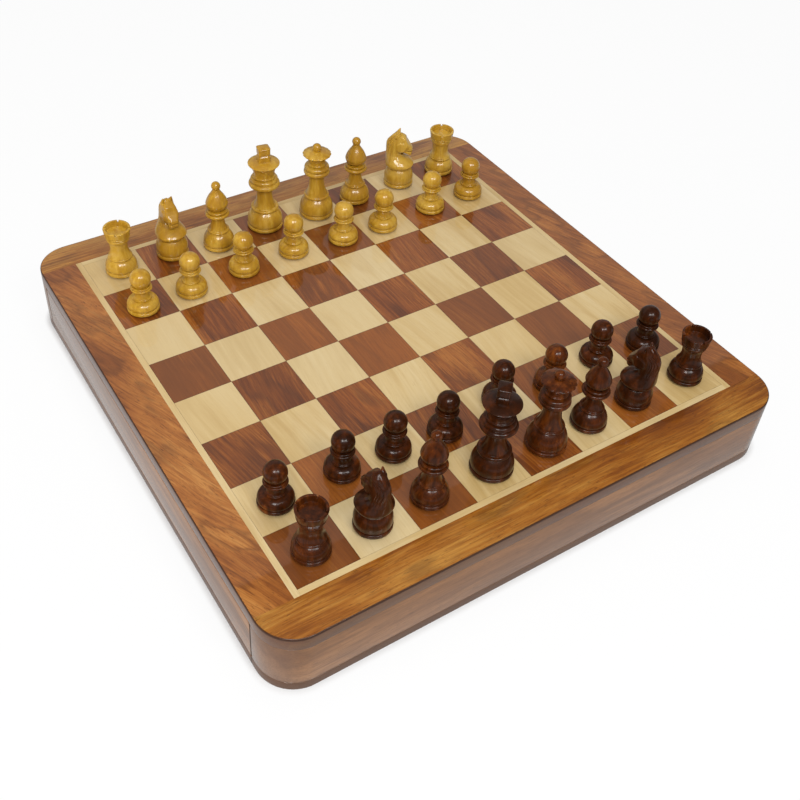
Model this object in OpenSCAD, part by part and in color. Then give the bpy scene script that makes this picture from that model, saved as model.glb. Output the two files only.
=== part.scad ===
// Wooden chess box: an inlaid board on a shallow box with two drawers, and its thirty-two turned men.
// The origin is the middle of the underside, +X runs along the near edge, +Y away from it, +Z up.

/* [Board] */
// Side of one square
square_w = 32.3; // [30:0.1:42]
// Width of the light stringing round the squares
stringing_w = 3.3; // [1.5:0.1:6]
// Width of the border strips
border_w = 20; // [19.5:0.5:32]
// Thickness of the squares and the stringing
inlay_t = 1.5; // [0.6:0.1:3]
// Thickness of the panel that carries the squares
panel_t = 6.5; // [5.5:0.1:12]
// Radius of the box's upright corners
corner_r = 19.5; // [4:0.5:19.5]
// Reach of the panel's tongue into the border
tongue_w = 4; // [2:0.5:6]
// Thickness of the panel's tongue
tongue_t = 2.5; // [1.5:0.1:3.5]

/* [Box] */
// Height of the walls between the bottom and the top board
wall_h = 25.8; // [25:0.1:50]
// Thickness of the solid front and back walls
wall_t = 23; // [20:0.5:30]
// Thickness of the bottom
bottom_t = 5.4; // [3:0.1:10]
// Thickness of the divider between the two drawers
divider_t = 6; // [4:0.5:12]
// Depth of the divider's housings in the walls
housing_d = 5; // [2:0.5:8]

/* [Drawers] */
// Thickness of a drawer's front
front_t = 10; // [7:0.5:14]
// Thickness of a drawer's sides and back
side_t = 5; // [4:0.5:7]
// How far the sides and the back stay below the front's top edge
side_drop = 2; // [1:0.5:4]
// Thickness of a drawer's base
base_t = 2; // [1.5:0.1:3]
// Height of the base above the drawer's bottom edge
base_inset = 0.6; // [0.5:0.1:2]
// Depth of the grooves that hold the base
groove_d = 2; // [1:0.1:2.5]
// Thickness of the velvet on the base
lining_t = 0.5; // [0.4:0.1:1.2]
// Thickness of the slats that part the men
slat_t = 3; // [2:0.1:4]
// Height of the slats
slat_h = 17; // [10:0.5:18]
// Length of the places for the tall men, behind the front
long_place = 76; // [60:1:85]

/* [Fits] */
// Glue line between inlaid pieces and under the felts
glue_gap = 0.05; // [0.02:0.01:0.15]
// Clearance of tongues, housings, grooves and halved joints
joint_gap = 0.15; // [0.05:0.01:0.3]
// Clearance on each side of a drawer
drawer_side_gap = 0.4; // [0.2:0.1:1]
// Gap under a drawer
drawer_foot_gap = 0.3; // [0.1:0.1:0.6]
// Gap over a drawer
drawer_head_gap = 0.5; // [0.2:0.1:1]
// Gap between a drawer's back and the divider
drawer_stop_gap = 0.5; // [0.2:0.1:2]

/* [Men] */
// Thickness of the felt under each man
felt_t = 0.8; // [0.4:0.1:1.5]
// How far the felt stays inside the foot
felt_inset = 1.6; // [1:0.1:2.5]
// Height of the round moulding at the bottom of each foot
lip_h = 3.5; // [2.6:0.1:4.2]
// How far the groove above that moulding is turned in
lip_step = 0.8; // [0.3:0.1:1.2]
// Easing of turned edges
edge = 0.4; // [0.2:0.05:0.6]

/* [King] */
// Radius of the king's foot
king_foot_r = 11; // [9:0.1:13]
// Height of the king's foot up to its bead
king_foot_h = 13.4; // [10:0.1:16]
// Length of the king's stem between bead and collar
king_stem_h = 16.3; // [11:0.1:21]
// Radius of the king's collar
king_collar_r = 9.4; // [8.5:0.1:11]
// Radius of the king's crown at its rim
king_crown_r = 9.5; // [7.5:0.1:11]
// Height of the king's crown above the collar
king_crown_h = 12.5; // [9:0.1:16]
// Width of the king's finial
king_finial_w = 6.8; // [5:0.1:8]
// Depth of the king's finial
king_finial_d = 6; // [4:0.1:8]
// Height of the king's finial
king_finial_h = 9.3; // [7:0.1:12]

/* [Queen] */
// Radius of the queen's foot
queen_foot_r = 10.7; // [9:0.1:13]
// Height of the queen's foot up to its bead
queen_foot_h = 13.6; // [10:0.1:16]
// Length of the queen's stem between bead and collar
queen_stem_h = 16.2; // [11:0.1:21]
// Radius of the queen's collar
queen_collar_r = 8.4; // [7.5:0.1:10]
// Radius of the queen's coronet
queen_coronet_r = 8.7; // [7:0.1:10]
// Height of the queen's coronet above the collar
queen_coronet_h = 10.8; // [8:0.1:14]
// Radius of the ball on the coronet
queen_ball_r = 2.5; // [1.8:0.1:3]
// Number of scallops in the coronet
queen_scallops = 12; // [6:1:14]

/* [Bishop] */
// Radius of the bishop's foot
bishop_foot_r = 9.5; // [8:0.1:12]
// Height of the bishop's foot up to its bead
bishop_foot_h = 11.4; // [8:0.1:14]
// Length of the bishop's stem between bead and collar
bishop_stem_h = 11.2; // [7:0.1:15]
// Radius of the bishop's collar
bishop_collar_r = 7.2; // [6.2:0.1:9]
// Radius of the mitre at its widest
mitre_r = 6.6; // [5.5:0.1:8]
// Height of the mitre
mitre_h = 13.8; // [10:0.1:17]
// Radius of the ball on the mitre
mitre_ball_r = 2.7; // [2.2:0.1:3.2]
// Width of the saw cut in the mitre
mitre_cut_w = 1; // [0.6:0.1:1.6]

/* [Rook] */
// Radius of the rook's foot
rook_foot_r = 9.5; // [8:0.1:12]
// Height of the rook's foot up to its bead
rook_foot_h = 10.6; // [8:0.1:13]
// Length of the rook's stem between bead and tower
rook_stem_h = 12.6; // [8:0.1:16]
// Radius of the tower at its rim
tower_r = 7.8; // [7:0.1:10]
// Height of the tower
tower_h = 7.6; // [6:0.1:13]
// Thickness of the tower's wall
tower_wall = 1.4; // [1.1:0.1:2.5]
// Depth of the hollow in the tower
tower_d = 3.5; // [2:0.1:5]
// Width of the saw cuts across the tower
tower_cut_w = 1; // [0.6:0.1:2]
// Depth of the saw cuts across the tower
tower_cut_d = 1.6; // [0.8:0.1:3]

/* [Knight] */
// Radius of the knight's foot
knight_foot_r = 9.6; // [8.5:0.1:12]
// Height of the knight's foot up to the seam under the horse
knight_foot_h = 12.8; // [10:0.1:15]
// Radius of the round blank that the horse is carved from
horse_blank_r = 9.3; // [8:0.1:10.5]
// Height of the horse above the seam
horse_h = 25.8; // [22:0.1:32]
// Thickness of the horse's head across the cheeks
horse_head_w = 8.6; // [7:0.1:11]

/* [Pawn] */
// Radius of the pawn's foot
pawn_foot_r = 9.2; // [8:0.1:11]
// Height of the pawn's foot up to its ring
pawn_foot_h = 8.6; // [7.6:0.1:11]
// Radius of the pawn's collar
pawn_collar_r = 6.1; // [5.5:0.1:7.5]
// Height of the pawn's collar above the foot
pawn_collar_z = 6.3; // [5:0.1:9]
// Radius of the pawn's ball
pawn_ball_r = 5.85; // [5:0.05:7]

/* [Hidden] */
$fn = 96;
// Straight stretches in each arc of a turned outline
arc_steps = 5;
// Longer than any cut needs
past = 1;

// Board: eight squares each way, stringing, border
files = 8;
field_w = files * square_w + 2 * stringing_w;
outer_w = field_w + 2 * border_w;
half_w = outer_w / 2;
panel_z = bottom_t + wall_h;
inlay_z = panel_z + panel_t;
board_z = inlay_z + inlay_t;
tongue_z = panel_z + (panel_t - tongue_t) / 2;

// Drawer: outside sizes inside its bay, then the places inside it
bay_w = outer_w - 2 * wall_t;
drawer_w = bay_w - 2 * drawer_side_gap;
drawer_z = bottom_t + drawer_foot_gap;
drawer_h = wall_h - drawer_foot_gap - drawer_head_gap;
drawer_back_x = divider_t / 2 + drawer_stop_gap;
drawer_front_x = half_w - front_t;
side_h = drawer_h - side_drop;
inside_w = drawer_w - 2 * side_t;
inside_back_x = drawer_back_x + side_t;
base_z = drawer_z + base_inset;
lining_z = base_z + base_t;
slat_z = lining_z + lining_t;
long_slat_x = drawer_front_x - joint_gap - long_place - slat_t / 2;
place_pitch = (inside_w + slat_t) / files;

SHEESHAM = "#8a4a22";
SHEESHAM_DARK = "#4a2416";
SIDE_WOOD = "#7d5a48";
MAPLE = "#e0c98e";
BOXWOOD = "#c9962f";
PLYWOOD = "#b08a5c";
VELVET = "#7a1420";

// Officers from the left, as they stand on both back rows
OFFICERS = ["rook_left", "knight_left", "bishop_left", "king", "queen", "bishop_right", "knight_right", "rook_right"];
BOX_NODES = ["front_wall", "back_wall", "centre_divider", "bottom_panel", "top_panel",
    "border_front", "border_back", "border_left", "border_right", "stringing", "light_squares", "dark_squares"];
DRAWER_NODES = ["front", "sides", "back", "base", "lining", "long_slat", "cross_slats"];
SIDES = ["left", "right"];
COLOURS = ["light", "dark"];

// ---- Box ----

// Plan of the whole box, with its round corners
module plan() {
    square([outer_w, outer_w - 2 * corner_r], center = true);
    square([outer_w - 2 * corner_r, outer_w], center = true);
    for (x = [-1, 1], y = [-1, 1])
        translate([x, y] * (half_w - corner_r)) circle(corner_r);
}

// Full-length strip of the plan along the front (side -1) or the back (side 1)
module strip(side, width, height) {
    linear_extrude(height) intersection() {
        plan();
        translate([0, side * (half_w - width / 2)]) square([outer_w, width], center = true);
    }
}

// A block centred on x = y = 0
module block(w, d, h) {
    translate([-w / 2, -d / 2, 0]) cube([w, d, h]);
}

module wall(side) {
    difference() {
        translate([0, 0, bottom_t]) strip(side, wall_t, wall_h);
        // Housing for the divider's end
        translate([0, side * (half_w - wall_t), bottom_t - past])
            block(divider_t + 2 * joint_gap, 2 * (housing_d + joint_gap), wall_h + 2 * past);
    }
}

module front_wall() { color(SIDE_WOOD) wall(-1); }
module back_wall() { color(SIDE_WOOD) wall(1); }

module centre_divider() {
    color(SIDE_WOOD) translate([0, 0, bottom_t]) block(divider_t, bay_w + 2 * housing_d, wall_h);
}

module bottom_panel() { color(SIDE_WOOD) linear_extrude(bottom_t) plan(); }

module top_panel() {
    color(PLYWOOD) {
        translate([0, 0, panel_z]) block(field_w, field_w, panel_t);
        translate([0, 0, tongue_z]) block(field_w + 2 * tongue_w, field_w + 2 * tongue_w, tongue_t);
    }
}

// Groove in the border that the panel's tongue enters
module tongue_groove() {
    groove_w = field_w + 2 * (tongue_w + joint_gap);
    translate([0, 0, tongue_z - joint_gap]) block(groove_w, groove_w, tongue_t + 2 * joint_gap);
}

// The front and back strips run through to the corners
module border_long(side) {
    color(SHEESHAM) difference() {
        translate([0, 0, panel_z]) strip(side, border_w, panel_t + inlay_t);
        tongue_groove();
    }
}

// The left and right strips stand between them
module border_short(side) {
    color(SHEESHAM) difference() {
        translate([side * (half_w - border_w / 2), 0, panel_z]) block(border_w, field_w, panel_t + inlay_t);
        tongue_groove();
    }
}

module border_front() { border_long(-1); }
module border_back() { border_long(1); }
module border_left() { border_short(-1); }
module border_right() { border_short(1); }

// Four strips: the left and right ones run through, the others stand between them
module stringing() {
    line = (field_w - stringing_w) / 2;
    width = stringing_w - glue_gap;
    color(MAPLE) translate([0, 0, inlay_z]) for (s = [-1, 1]) {
        translate([s * line, 0, 0]) block(width, field_w - glue_gap, inlay_t);
        translate([0, s * line, 0]) block(field_w - 2 * stringing_w - glue_gap, width, inlay_t);
    }
}

// Middle of the square in file i and row j, counted from the near left one
function middle(i, j) = [(i - (files - 1) / 2) * square_w, (j - (files - 1) / 2) * square_w];

// All squares of one shade: parity 0 has the near left corner
module squares(parity) {
    for (i = [0:files - 1], j = [0:files - 1])
        if ((i + j) % 2 == parity)
            translate([each middle(i, j), inlay_z]) block(square_w - glue_gap, square_w - glue_gap, inlay_t);
}

module light_squares() { color(MAPLE) squares(1); }
module dark_squares() { color(SHEESHAM_DARK) squares(0); }

// ---- Drawers, drawn on the right ----

// A block from x0 to x1, centred on y = 0, standing on z
module bar(x0, x1, width, z, h) {
    translate([x0, -width / 2, z]) cube([x1 - x0, width, h]);
}

// Room that the base's edges take up in the front and the sides
module base_groove() {
    reach = groove_d + joint_gap;
    bar(drawer_back_x - past, drawer_front_x + reach, inside_w + 2 * reach, base_z - joint_gap,
        base_t + 2 * joint_gap);
}

module drawer_front() {
    color(SIDE_WOOD) difference() {
        bar(drawer_front_x, half_w, drawer_w, drawer_z, drawer_h);
        base_groove();
    }
}

module drawer_sides() {
    color(PLYWOOD) difference() {
        for (s = [-1, 1]) translate([0, s * (drawer_w - side_t) / 2, 0])
            bar(drawer_back_x, drawer_front_x, side_t, drawer_z, side_h);
        base_groove();
    }
}

module drawer_back() {
    color(PLYWOOD) bar(drawer_back_x, inside_back_x, inside_w, lining_z, drawer_z + side_h - lining_z);
}

module drawer_base() {
    color(PLYWOOD) bar(drawer_back_x, drawer_front_x + groove_d, inside_w + 2 * groove_d, base_z, base_t);
}

module drawer_lining() {
    color(VELVET) bar(inside_back_x + joint_gap, drawer_front_x - joint_gap, inside_w - 2 * joint_gap,
        lining_z, lining_t);
}

// Slats cross at halved joints: the long one is cut from above, the cross ones from below
module drawer_long_slat() {
    color(VELVET) difference() {
        bar(long_slat_x - slat_t / 2, long_slat_x + slat_t / 2, inside_w - 2 * joint_gap, slat_z, slat_h);
        for (k = [1:files - 1]) translate([0, (k - files / 2) * place_pitch, 0])
            bar(long_slat_x - slat_t, long_slat_x + slat_t, slat_t + 2 * joint_gap,
                slat_z + slat_h / 2 - joint_gap, slat_h);
    }
}

module drawer_cross_slats() {
    lap = slat_t / 2 + joint_gap;
    color(VELVET) difference() {
        for (k = [1:files - 1]) translate([0, (k - files / 2) * place_pitch, 0])
            bar(inside_back_x + joint_gap, drawer_front_x - joint_gap, slat_t, slat_z, slat_h);
        bar(long_slat_x - lap, long_slat_x + lap, inside_w, slat_z - past, slat_h / 2 + past);
    }
}

// One of the pieces of the drawer on either side
module drawer_piece(side, name) {
    mirror([side == "left" ? 1 : 0, 0, 0]) {
        if (name == "front") drawer_front();
        if (name == "sides") drawer_sides();
        if (name == "back") drawer_back();
        if (name == "base") drawer_base();
        if (name == "lining") drawer_lining();
        if (name == "long_slat") drawer_long_slat();
        if (name == "cross_slats") drawer_cross_slats();
    }
}

// ---- Men: each stands on the plane z = 0 about its own axis ----

// Points after p on the arc from p to q that bows by sag to the right of its way, or left if negative
function arc(p, q, sag) =
    let (chord = norm(q - p),
         half = 2 * atan(2 * abs(sag) / chord),
         radius = chord / 2 / sin(half),
         along = (q - p) / chord,
         out = [along[1], -along[0]] * sign(sag),
         centre = (p + q) / 2 - out * radius * cos(half))
    [for (k = [1:arc_steps])
        let (a = half * (2 * k / arc_steps - 1)) centre + radius * (out * cos(a) + along * sin(a))];

// Outline through rows of [across, up, bow of the stretch that leads there]
function outline(rows) = [for (k = [0:len(rows) - 1])
    let (q = [rows[k][0], rows[k][1]], sag = rows[k][2])
    each k == 0 || is_undef(sag) ? [q] : arc([rows[k - 1][0], rows[k - 1][1]], q, sag)];

// Foot: a round moulding, a groove, then a body of radius r that narrows to top_r at height h
function foot(r, top_r, h, swell) = [
    [0, felt_t], [r - lip_step - edge, felt_t], [r - lip_step, lip_h - edge / 2, lip_step * 0.8],
    [r - lip_step, lip_h + edge / 2], [r, lip_h + edge + lip_step, lip_step / 4], [top_r, h, swell]];

// Half-round ring of radius r on height z, h thick
function ring(r, z, h) = let (swell = h / 3) [[r - swell, z], [r - swell, z + h, swell]];

// Ball of radius r about height z, from where it meets a neck of radius neck_r to its top
function ball(r, z, neck_r) = let (low = -acos(neck_r / r))
    [for (k = [0:2 * arc_steps]) let (a = low + (90 - low) * k / (2 * arc_steps))
        [k == 2 * arc_steps ? 0 : r * cos(a), z + r * sin(a)]];

// Collar of radius r on height z: a ring t thick, a rounded shoulder up to neck_r, and a thin ring
function collar(r, z, t, neck_r, shoulder_h, bead_t) =
    let (top = z + t + shoulder_h)
    concat(
        ring(r, z, t),
        [[r - t / 3 - 0.1, z + t + edge / 2], [neck_r + 0.5, top, 0.3], [neck_r, top + edge / 2]],
        ring(neck_r + 0.7, top + edge, bead_t));

module turn(rows) {
    rotate_extrude() polygon(outline(rows));
}

module felt(foot_r) {
    cylinder(r = foot_r - felt_inset, h = felt_t - glue_gap);
}

module king() {
    bead_t = 2;
    collar_t = 3.3;
    shoulder_h = 2.7;
    thin_t = 1;
    stem_z = king_foot_h + bead_t;
    collar_z = king_foot_h + king_stem_h;
    cup_z = collar_z + collar_t + shoulder_h + thin_t + edge;
    rim_z = collar_z + collar_t + king_crown_h;
    crown_z = rim_z + 1.7;
    neck_r = 4.9;
    cup_r = 6.1;
    felt(king_foot_r);
    turn(concat(
        foot(king_foot_r, king_foot_r - 3.2, king_foot_h, 0.7),
        ring(king_foot_r - 2.7, king_foot_h, bead_t),
        [[neck_r + 2, stem_z], [neck_r, collar_z - 3, -0.6], [neck_r + 1.4, collar_z, -0.5]],
        collar(king_collar_r, collar_z, collar_t, cup_r, shoulder_h, thin_t),
        [[cup_r + 0.2, cup_z + edge / 2], [king_crown_r, rim_z - edge, -0.7], [king_crown_r - edge, rim_z, 0.1],
         [king_finial_w * 0.56, crown_z, 0.35], [0, crown_z]]));
    translate([0, 0, crown_z - edge]) king_finial();
}

// Squared block with a domed top and a notch filed across each face
module king_finial() {
    reach = king_finial_w * 0.62;
    notch = 0.9;
    difference() {
        intersection() {
            turn([[0, 0], [reach - 0.4, 0], [reach, king_finial_h - 1], [reach - 0.8, king_finial_h - 0.1, 0.2],
                  [0, king_finial_h + edge, 0.2]]);
            block(king_finial_w, king_finial_d, king_finial_h + past);
        }
        for (a = [0, 90], s = [-1, 1]) rotate(a)
            translate([s * (a == 0 ? king_finial_w : king_finial_d) / 2, 0, king_finial_h * 0.45])
                rotate([0, 45, 0]) cube([notch, 2 * king_finial_w, notch], center = true);
    }
}

module queen() {
    bead_t = 1.4;
    collar_t = 3.1;
    shoulder_h = 3;
    thin_t = 0.9;
    stem_z = queen_foot_h + bead_t;
    collar_z = queen_foot_h + queen_stem_h;
    cup_z = collar_z + collar_t + shoulder_h + thin_t + edge;
    rim_z = collar_z + collar_t + queen_coronet_h;
    ball_z = rim_z + 1.6 + queen_ball_r;
    neck_r = 4.8;
    cup_r = 4.9;
    scallop_r = 1.3;
    felt(queen_foot_r);
    difference() {
        turn(concat(
            foot(queen_foot_r, queen_foot_r - 3.7, queen_foot_h, 0.7),
            ring(queen_foot_r - 3.1, queen_foot_h, bead_t),
            [[neck_r + 2.2, stem_z], [neck_r, collar_z - 3, -0.6], [neck_r + 1.3, collar_z, -0.5]],
            collar(queen_collar_r, collar_z, collar_t, cup_r, shoulder_h, thin_t),
            [[cup_r + 0.2, cup_z + edge / 2], [queen_coronet_r, rim_z - edge, -0.8], [queen_coronet_r - edge, rim_z, 0.1],
             [queen_ball_r * 0.8, ball_z - queen_ball_r * 0.6, 0.5]],
            ball(queen_ball_r, ball_z, queen_ball_r * 0.8)));
        for (k = [1:queen_scallops]) rotate(k * 360 / queen_scallops)
            translate([queen_coronet_r + scallop_r * 0.6, 0, rim_z - 4]) cylinder(r = scallop_r, h = 6, $fn = 24);
    }
}

module bishop() {
    bead_t = 1.4;
    collar_t = 2.2;
    ring_t = 1.5;
    stem_z = bishop_foot_h + bead_t;
    collar_z = bishop_foot_h + bishop_stem_h;
    mitre_z = collar_z + collar_t + ring_t + edge;
    mitre_top = mitre_z + mitre_h;
    neck_r = 4;
    ball_neck_r = 1.9;
    felt(bishop_foot_r);
    difference() {
        turn(concat(
            foot(bishop_foot_r, bishop_foot_r - 3.8, bishop_foot_h, 0.7),
            ring(bishop_foot_r - 3.2, bishop_foot_h, bead_t),
            [[neck_r + 1.4, stem_z], [neck_r, collar_z - 2.4, -0.4], [neck_r + 1.2, collar_z, -0.4]],
            ring(bishop_collar_r, collar_z, collar_t),
            ring(bishop_collar_r - 1.2, collar_z + collar_t + edge / 2, ring_t),
            [[mitre_r - 2.4, mitre_z + edge], [mitre_r, mitre_z + mitre_h * 0.3, 0.6],
             [ball_neck_r, mitre_top, 0.8]],
            ball(mitre_ball_r, mitre_top + sqrt(pow(mitre_ball_r, 2) - pow(ball_neck_r, 2)), ball_neck_r)));
        // One slanting saw cut, a third of the way into the mitre
        translate([mitre_r * 0.3, 0, mitre_z + mitre_h * 0.36]) rotate([0, -56, 0])
            translate([0, -mitre_r - past, -mitre_cut_w / 2]) cube([2 * mitre_r, 2 * (mitre_r + past), mitre_cut_w]);
    }
}

// V groove turned into a wall of radius r on height z
function groove(r, z) = [[r, z - 0.3], [r - 0.4, z], [r, z + 0.3]];

module rook() {
    bead_t = 1.6;
    stem_z = rook_foot_h + bead_t;
    tower_z = rook_foot_h + rook_stem_h;
    rim_z = tower_z + tower_h;
    neck_r = 5.3;
    hollow_r = tower_r - tower_wall;
    felt(rook_foot_r);
    difference() {
        turn(concat(
            foot(rook_foot_r, rook_foot_r - 3, rook_foot_h, 0.8),
            ring(rook_foot_r - 2.5, rook_foot_h, bead_t),
            [[neck_r + 1.3, stem_z], [neck_r, tower_z - 3, -0.5], [neck_r + 0.7, tower_z, -0.2],
             [tower_r - 0.7, tower_z + 1.2, 0.3]],
            groove(tower_r - 0.6, tower_z + 2.3),
            groove(tower_r - 0.4, tower_z + 3.6),
            [[tower_r, rim_z - edge], [tower_r - edge, rim_z, 0.1],
             [hollow_r, rim_z], [hollow_r - edge, rim_z - tower_d], [0, rim_z - tower_d]]));
        for (a = [0, 90]) rotate(a) translate([0, 0, rim_z - tower_cut_d])
            block(2 * (tower_r + past), tower_cut_w, tower_cut_d + past);
    }
}

// The horse looks along +X; it starts as a turned blank, sawn to a side view and a front view
module knight() {
    seam_r = knight_foot_r - 2.6;
    seam_h = 1;
    horse_z = knight_foot_h + seam_h;
    felt(knight_foot_r);
    turn(concat(
        foot(knight_foot_r, seam_r + edge, knight_foot_h, 0.9),
        [[seam_r, knight_foot_h + edge], [seam_r, horse_z + edge], [0, horse_z + edge]]));
    translate([0, 0, horse_z]) horse();
}

module horse() {
    difference() {
        intersection() {
            horse_blank();
            horse_side_view();
            horse_front_view();
        }
        for (s = [-1, 1]) {
            horse_muzzle(s);
            horse_cheek(s);
            horse_mane(s);
        }
    }
}

module horse_blank() {
    turn([[0, 0], [horse_blank_r - 2.2, 0], [horse_blank_r, horse_h * 0.14, 0.3], [horse_blank_r, horse_h * 0.6],
          [horse_blank_r - 2, horse_h, 0.5], [0, horse_h]]);
}

// Chest, throat, chin, mouth, nose, forehead, ear, and the mane's steps down the back
module horse_side_view() {
    h = horse_h;
    r = horse_blank_r;
    rotate([90, 0, 0]) translate([0, 0, -r - past]) linear_extrude(2 * (r + past)) polygon(outline([
        [-r - past, 0], [r + past, 0], [r + past, h * 0.12], [r * 0.97, h * 0.15, 0.1],
        [r * 0.5, h * 0.27, -0.4], [-r * 0.08, h * 0.38, -0.4], [-r * 0.05, h * 0.42, 0.1],
        [r * 0.28, h * 0.42, -0.2], [r * 0.54, h * 0.4, -0.1], [r * 0.71, h * 0.415, 0.2],
        [r * 0.76, h * 0.455, 0.1], [r * 0.58, h * 0.475], [r * 0.8, h * 0.49], [r * 0.86, h * 0.55, 0.15],
        [r * 0.8, h * 0.63, 0.15], [r * 0.62, h * 0.74, -0.1], [r * 0.36, h * 0.86, 0.2], [r * 0.14, h * 0.885, 0.1],
        [r * 0.1, h * 0.9], [r * 0.02, h, 0.2], [-r * 0.2, h * 0.965, 0.2], [-r * 0.24, h * 0.94],
        [-r * 0.48, h * 0.885, 0.3], [-r * 0.51, h * 0.85], [-r * 0.77, h * 0.785, 0.3], [-r * 0.8, h * 0.745],
        [-r * 0.94, h * 0.69, 0.2], [-r * 0.95, h * 0.65],
        [-r, h * 0.6, 0.2], [-r - past, h * 0.55]]));
}

// Broad at the shoulders, flat at the cheeks, with a notch between the ears
module horse_front_view() {
    h = horse_h;
    r = horse_blank_r;
    cheek = horse_head_w / 2;
    half = outline([
        [0, 0], [r + past, 0], [r + past, h * 0.15], [cheek + 2, h * 0.32, -0.7], [cheek, h * 0.46, -0.2],
        [cheek, h * 0.68], [cheek * 0.8, h * 0.92, 0.2], [cheek * 0.62, h + past], [cheek * 0.4, h + past],
        [0, h * 0.87]]);
    rotate([90, 0, 90]) translate([0, 0, -r - past]) linear_extrude(2 * (r + past)) {
        polygon(half);
        mirror([1, 0]) polygon(half);
    }
}

// Wedge pared off beside the nose on side s
module horse_muzzle(s) {
    h = horse_h;
    r = horse_blank_r;
    cheek = horse_head_w / 2;
    half = [[r * 0.26, cheek], [r * 0.7, cheek * 0.66], [r + past, cheek * 0.6], [r + past, r], [r * 0.26, r]];
    translate([0, 0, h * 0.38]) linear_extrude(h)
        mirror([0, s < 0 ? 1 : 0]) polygon(half);
}

// Groove round the cheek and a drilled eye on side s
module horse_cheek(s) {
    h = horse_h;
    r = horse_blank_r;
    cheek = horse_head_w / 2;
    depth = 0.5;
    translate([r * 0.16, s * cheek, h * 0.56]) rotate([90, 0, 0]) difference() {
        cylinder(r = r * 0.37, h = 2 * depth, center = true, $fn = 48);
        cylinder(r = r * 0.29, h = 4 * depth, center = true, $fn = 48);
        translate([0, 0, -2 * depth]) cube([r, r, 4 * depth]);
    }
    translate([r * 0.34, s * cheek * 0.95, h * 0.75]) rotate([90, 0, 0])
        cylinder(r = 0.6, h = 3 * depth, center = true, $fn = 24);
}

// Slanting cuts across the mane on side s
module horse_mane(s) {
    h = horse_h;
    r = horse_blank_r;
    cheek = horse_head_w / 2;
    cut = 0.7;
    for (k = [0:4]) translate([-r * (0.4 + 0.1 * k), s * cheek, h * (0.8 - 0.09 * k)])
        rotate([0, 24, 0]) rotate([45, 0, 0]) cube([r * 0.8, cut, cut], center = true);
}

module pawn() {
    ring_t = 1;
    collar_t = 2.3;
    collar_z = pawn_foot_h + pawn_collar_z;
    neck_r = 4.1;
    ball_neck_r = 4.2;
    ball_z = collar_z + collar_t + edge / 2 + sqrt(pow(pawn_ball_r, 2) - pow(ball_neck_r, 2));
    felt(pawn_foot_r);
    turn(concat(
        foot(pawn_foot_r, pawn_foot_r - 4.3, pawn_foot_h, 0.8),
        ring(pawn_foot_r - 3.9, pawn_foot_h, ring_t),
        [[neck_r + 0.5, pawn_foot_h + ring_t + edge / 2], [neck_r, pawn_foot_h + pawn_collar_z * 0.55, -0.2],
         [neck_r + 0.9, collar_z, -0.3]],
        ring(pawn_collar_r, collar_z, collar_t),
        ball(pawn_ball_r, ball_z, ball_neck_r)));
}

// Which way each officer is turned, and how far it stands from the middle of its square
TURNS = [
    [62, -90, 30, -10, 0, 105, -35, 58],
    [40, 95, 20, 45, 10, 35, 110, 70]];
OFFICER_SHIFTS = [
    [[2, 1], [2, 2], [-2.5, -3.5], [-1, 1.5], [1, -2], [-2, 0], [0.5, 2], [0.5, 2]],
    [[-1, -1.5], [-1.5, -2.5], [-2, -2], [2, -2], [3, -2.5], [-1, -2], [-2, -1], [2.5, -1.5]]];
PAWN_SHIFTS = [
    [[-0.5, -4.5], [-3, -3.5], [-0.5, -0.5], [1, 1], [1.5, -2], [-2.5, -2.5], [2.5, 0], [1, 1.5]],
    [[-1.5, -1.5], [2.5, -0.5], [-1.5, -2], [-4, -3.5], [1, 1], [0, -3], [1.5, 0], [0, -3.5]]];
BACK_ROWS = [files - 1, 0];
PAWN_ROWS = [files - 2, 1];

// A man of shade c in file i and row j, shifted on his square and turned
module stand(c, i, j, shift, angle) {
    color(c == 0 ? BOXWOOD : SHEESHAM_DARK)
        translate([each middle(i, j) + shift, board_z]) rotate(angle) children();
}

module officer(c, i) {
    stand(c, i, BACK_ROWS[c], OFFICER_SHIFTS[c][i], TURNS[c][i]) {
        if (i == 0 || i == 7) rook();
        if (i == 1 || i == 6) knight();
        if (i == 2 || i == 5) bishop();
        if (i == 3) king();
        if (i == 4) queen();
    }
}

module pawn_of(c, i) {
    stand(c, i, PAWN_ROWS[c], PAWN_SHIFTS[c][i], 0) pawn();
}

front_wall();
back_wall();
centre_divider();
bottom_panel();
top_panel();
border_front();
border_back();
border_left();
border_right();
stringing();
light_squares();
dark_squares();
for (s = SIDES, n = DRAWER_NODES)
    drawer_piece(s, n);
for (c = [0, 1], i = [0:files - 1]) {
    officer(c, i);
    pawn_of(c, i);
}
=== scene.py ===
import math

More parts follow.
